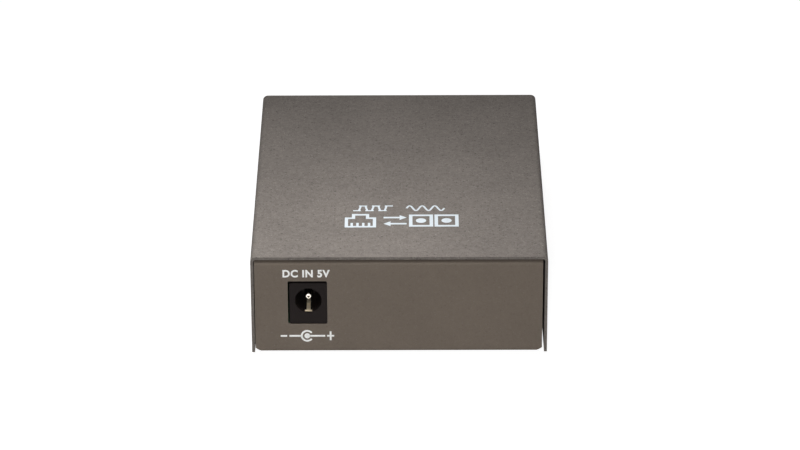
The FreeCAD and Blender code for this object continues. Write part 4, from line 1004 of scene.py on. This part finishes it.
def winding():
    """The inductor's wire, a helix round its core: x = r cos t, y = r sin t, z rises evenly with t."""
    low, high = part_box("power_inductor")
    t = np.linspace(0, WIRE_TURNS * 2 * pi, WIRE_TURNS * 28)
    radius = (high.x - low.x) / 2 - CORE_WALL
    climb = (t / t[-1] - 0.5) * WIRE * 1.06 * WIRE_TURNS
    coil = np.stack([(low.x + high.x) / 2 + radius * np.cos(t), (low.y + high.y) / 2 + radius * np.sin(t),
                     (low.z + high.z) / 2 + climb], -1)
    return sweep(coil, WIRE, WIRE, sides=8)


new_piece("inductor_winding", winding(), enamel_wire)


SOLDER_SPREAD = 0.35 * MM
SOLDER_HEIGHT = 0.55 * MM


def solder_shapes(node):
    """A small cone of solder round each lead of a node where it leaves the board's underside.

    Its radius falls with the square root of the depth, so it is steep at the lead and flat on the board.
    """
    shapes = []
    for low, high in solid_ends(node):
        half = max(high[0] - low[0], high[1] - low[1]) / 2
        spot = ((low[0] + high[0]) / 2, (low[1] + high[1]) / 2, board_under)
        share = np.linspace(0, 1, 5)
        outer = half + SOLDER_SPREAD
        skirt = np.stack([outer - (outer - half * 0.9) * np.sqrt(share), -share * SOLDER_HEIGHT], -1)
        top = [(0.0, 0.01 * MM), (outer, 0.01 * MM)]
        profile = np.concatenate([top, skirt, [(0.0, -SOLDER_HEIGHT - 0.01 * MM)]])
        shapes.append(lathe(profile, spot, UPWARD, 20))
    return shapes


soldered = ("ethernet_jack_leads", "fibre_transceiver_pins", "led_leads", "dip_switch_pins")
joints = [shape for node in soldered for shape in solder_shapes(node)]
new_piece("solder_joints", joined(joints), solder)


# -------------------- floor, light and camera

def area_light(name, position, target, power, size=0.06, height=0.06):
    """A white rectangular lamp that shines from its position to the target and isn't seen itself.

    Places and sizes are in metres, the power in watts.
    """
    lamp = bpy.data.lights.new(name, "AREA")
    lamp.shape = "RECTANGLE"
    lamp.size = size
    lamp.size_y = height
    lamp.energy = power
    holder = bpy.data.objects.new(name, lamp)
    bpy.context.scene.collection.objects.link(holder)
    holder.location = position
    aim = Vector(target) - Vector(position)
    holder.rotation_euler = aim.to_track_quat("-Z", "Y").to_euler()
    holder.visible_camera = False


def seen_by(tree):
    """1 for camera, glossy and transmission rays, 0 for the rest."""
    path = tree.nodes.new("ShaderNodeLightPath")
    seen = maths(tree, "ADD", path.outputs["Is Camera Ray"], path.outputs["Is Glossy Ray"])
    return maths(tree, "ADD", seen, path.outputs["Is Transmission Ray"], clamp=True)


def make_world(strength, colour):
    """Soft light from all round, with pure white where the world is seen itself."""
    world = bpy.data.worlds.new("soft_room")
    world.use_nodes = True
    tree = world.node_tree
    tree.nodes.clear()
    lit = add_node(tree, "Background", None, Color=colour, Strength=strength)
    seen = add_node(tree, "Background", None, Color=(1, 1, 1, 1), Strength=1.0)
    blend = add_node(tree, "MixShader", None, in0=seen_by(tree), in1=lit.outputs[0], in2=seen.outputs[0])
    out = tree.nodes.new("ShaderNodeOutputWorld")
    tree.links.new(blend.outputs[0], out.inputs[0])
    bpy.context.scene.world = world


def make_floor(glow, shade):
    """A wide pale floor: a matt part that takes the shadow, and a glow that only seen rays meet."""
    reach = 4.0
    corners = [(-reach, -reach, 0), (reach, -reach, 0), (reach, reach, 0), (-reach, reach, 0)]
    mesh = bpy.data.meshes.new("floor")
    mesh.from_pydata(corners, [], [(0, 1, 2, 3)])
    material, tree, shader = base_material("floor_paper", Roughness=0.9, Specular_IOR_Level=0.0,
                                           Emission_Color=(1, 1, 1, 1))
    tone = object_noise(tree, 40.0, 3.0)
    tree.links.new(mixed(tree, tone, (shade, shade, shade, 1), (shade * 1.02,) * 3 + (1,)),
                   shader.inputs["Base Color"])
    tree.links.new(maths(tree, "MULTIPLY", seen_by(tree), glow), shader.inputs["Emission Strength"])
    mesh.materials.append(material)
    floor = bpy.data.objects.new("floor", mesh)
    bpy.context.scene.collection.objects.link(floor)


make_world(strength=0.08, colour=(1.0, 0.99, 0.98, 1))
make_floor(glow=0.88, shade=0.60)
STRIP_HEIGHT = 0.022
area_light("key_light", (0.022, 0.054, 0.135), (0.015, 0.045, 0.02), power=0.155)
area_light("rear_light", (0.0, 0.80, 0.39), (0.0, 0.047, 0.012), power=2.5)
area_light("front_strip", (0.0, -0.45, 0.012), (0.0, -0.047, 0.012), power=0.9, height=STRIP_HEIGHT)
area_light("left_strip", (0.45, 0.0, 0.012), (0.035, 0.0, 0.012), power=0.08, height=STRIP_HEIGHT)
area_light("right_strip", (-0.45, 0.0, 0.012), (-0.035, 0.0, 0.012), power=0.08, height=STRIP_HEIGHT)


def make_camera(place, pitch, yaw, roll, lens):
    """A camera that looks along -y and down by the pitch, at a place in millimetres.

    ahead = -(sin yaw cos pitch, cos yaw cos pitch, sin pitch); right and top turn round it by the roll.
    """
    pitch, yaw, roll = radians(pitch), radians(yaw), radians(roll)
    ahead = Vector((-sin(yaw) * cos(pitch), -cos(yaw) * cos(pitch), -sin(pitch)))
    level = Vector((-cos(yaw), sin(yaw), 0))
    above = Vector((-sin(yaw) * sin(pitch), -cos(yaw) * sin(pitch), cos(pitch)))
    right = cos(roll) * level + sin(roll) * above
    top = cos(roll) * above - sin(roll) * level
    turn = Matrix((right, top, -ahead)).transposed()
    data = bpy.data.cameras.new("camera")
    data.lens = lens
    data.sensor_width = 36.0
    data.clip_start = 0.01
    data.clip_end = 20.0
    camera = bpy.data.objects.new("camera", data)
    camera.matrix_world = Matrix.Translation(Vector(place) * MM) @ turn.to_4x4()
    bpy.context.scene.collection.objects.link(camera)
    bpy.context.scene.camera = camera


make_camera(place=(-1.523, 844.67, 424.98), pitch=26.038, yaw=-0.0932, roll=-0.2007, lens=168.55)
bpy.context.scene.view_settings.view_transform = "Standard"
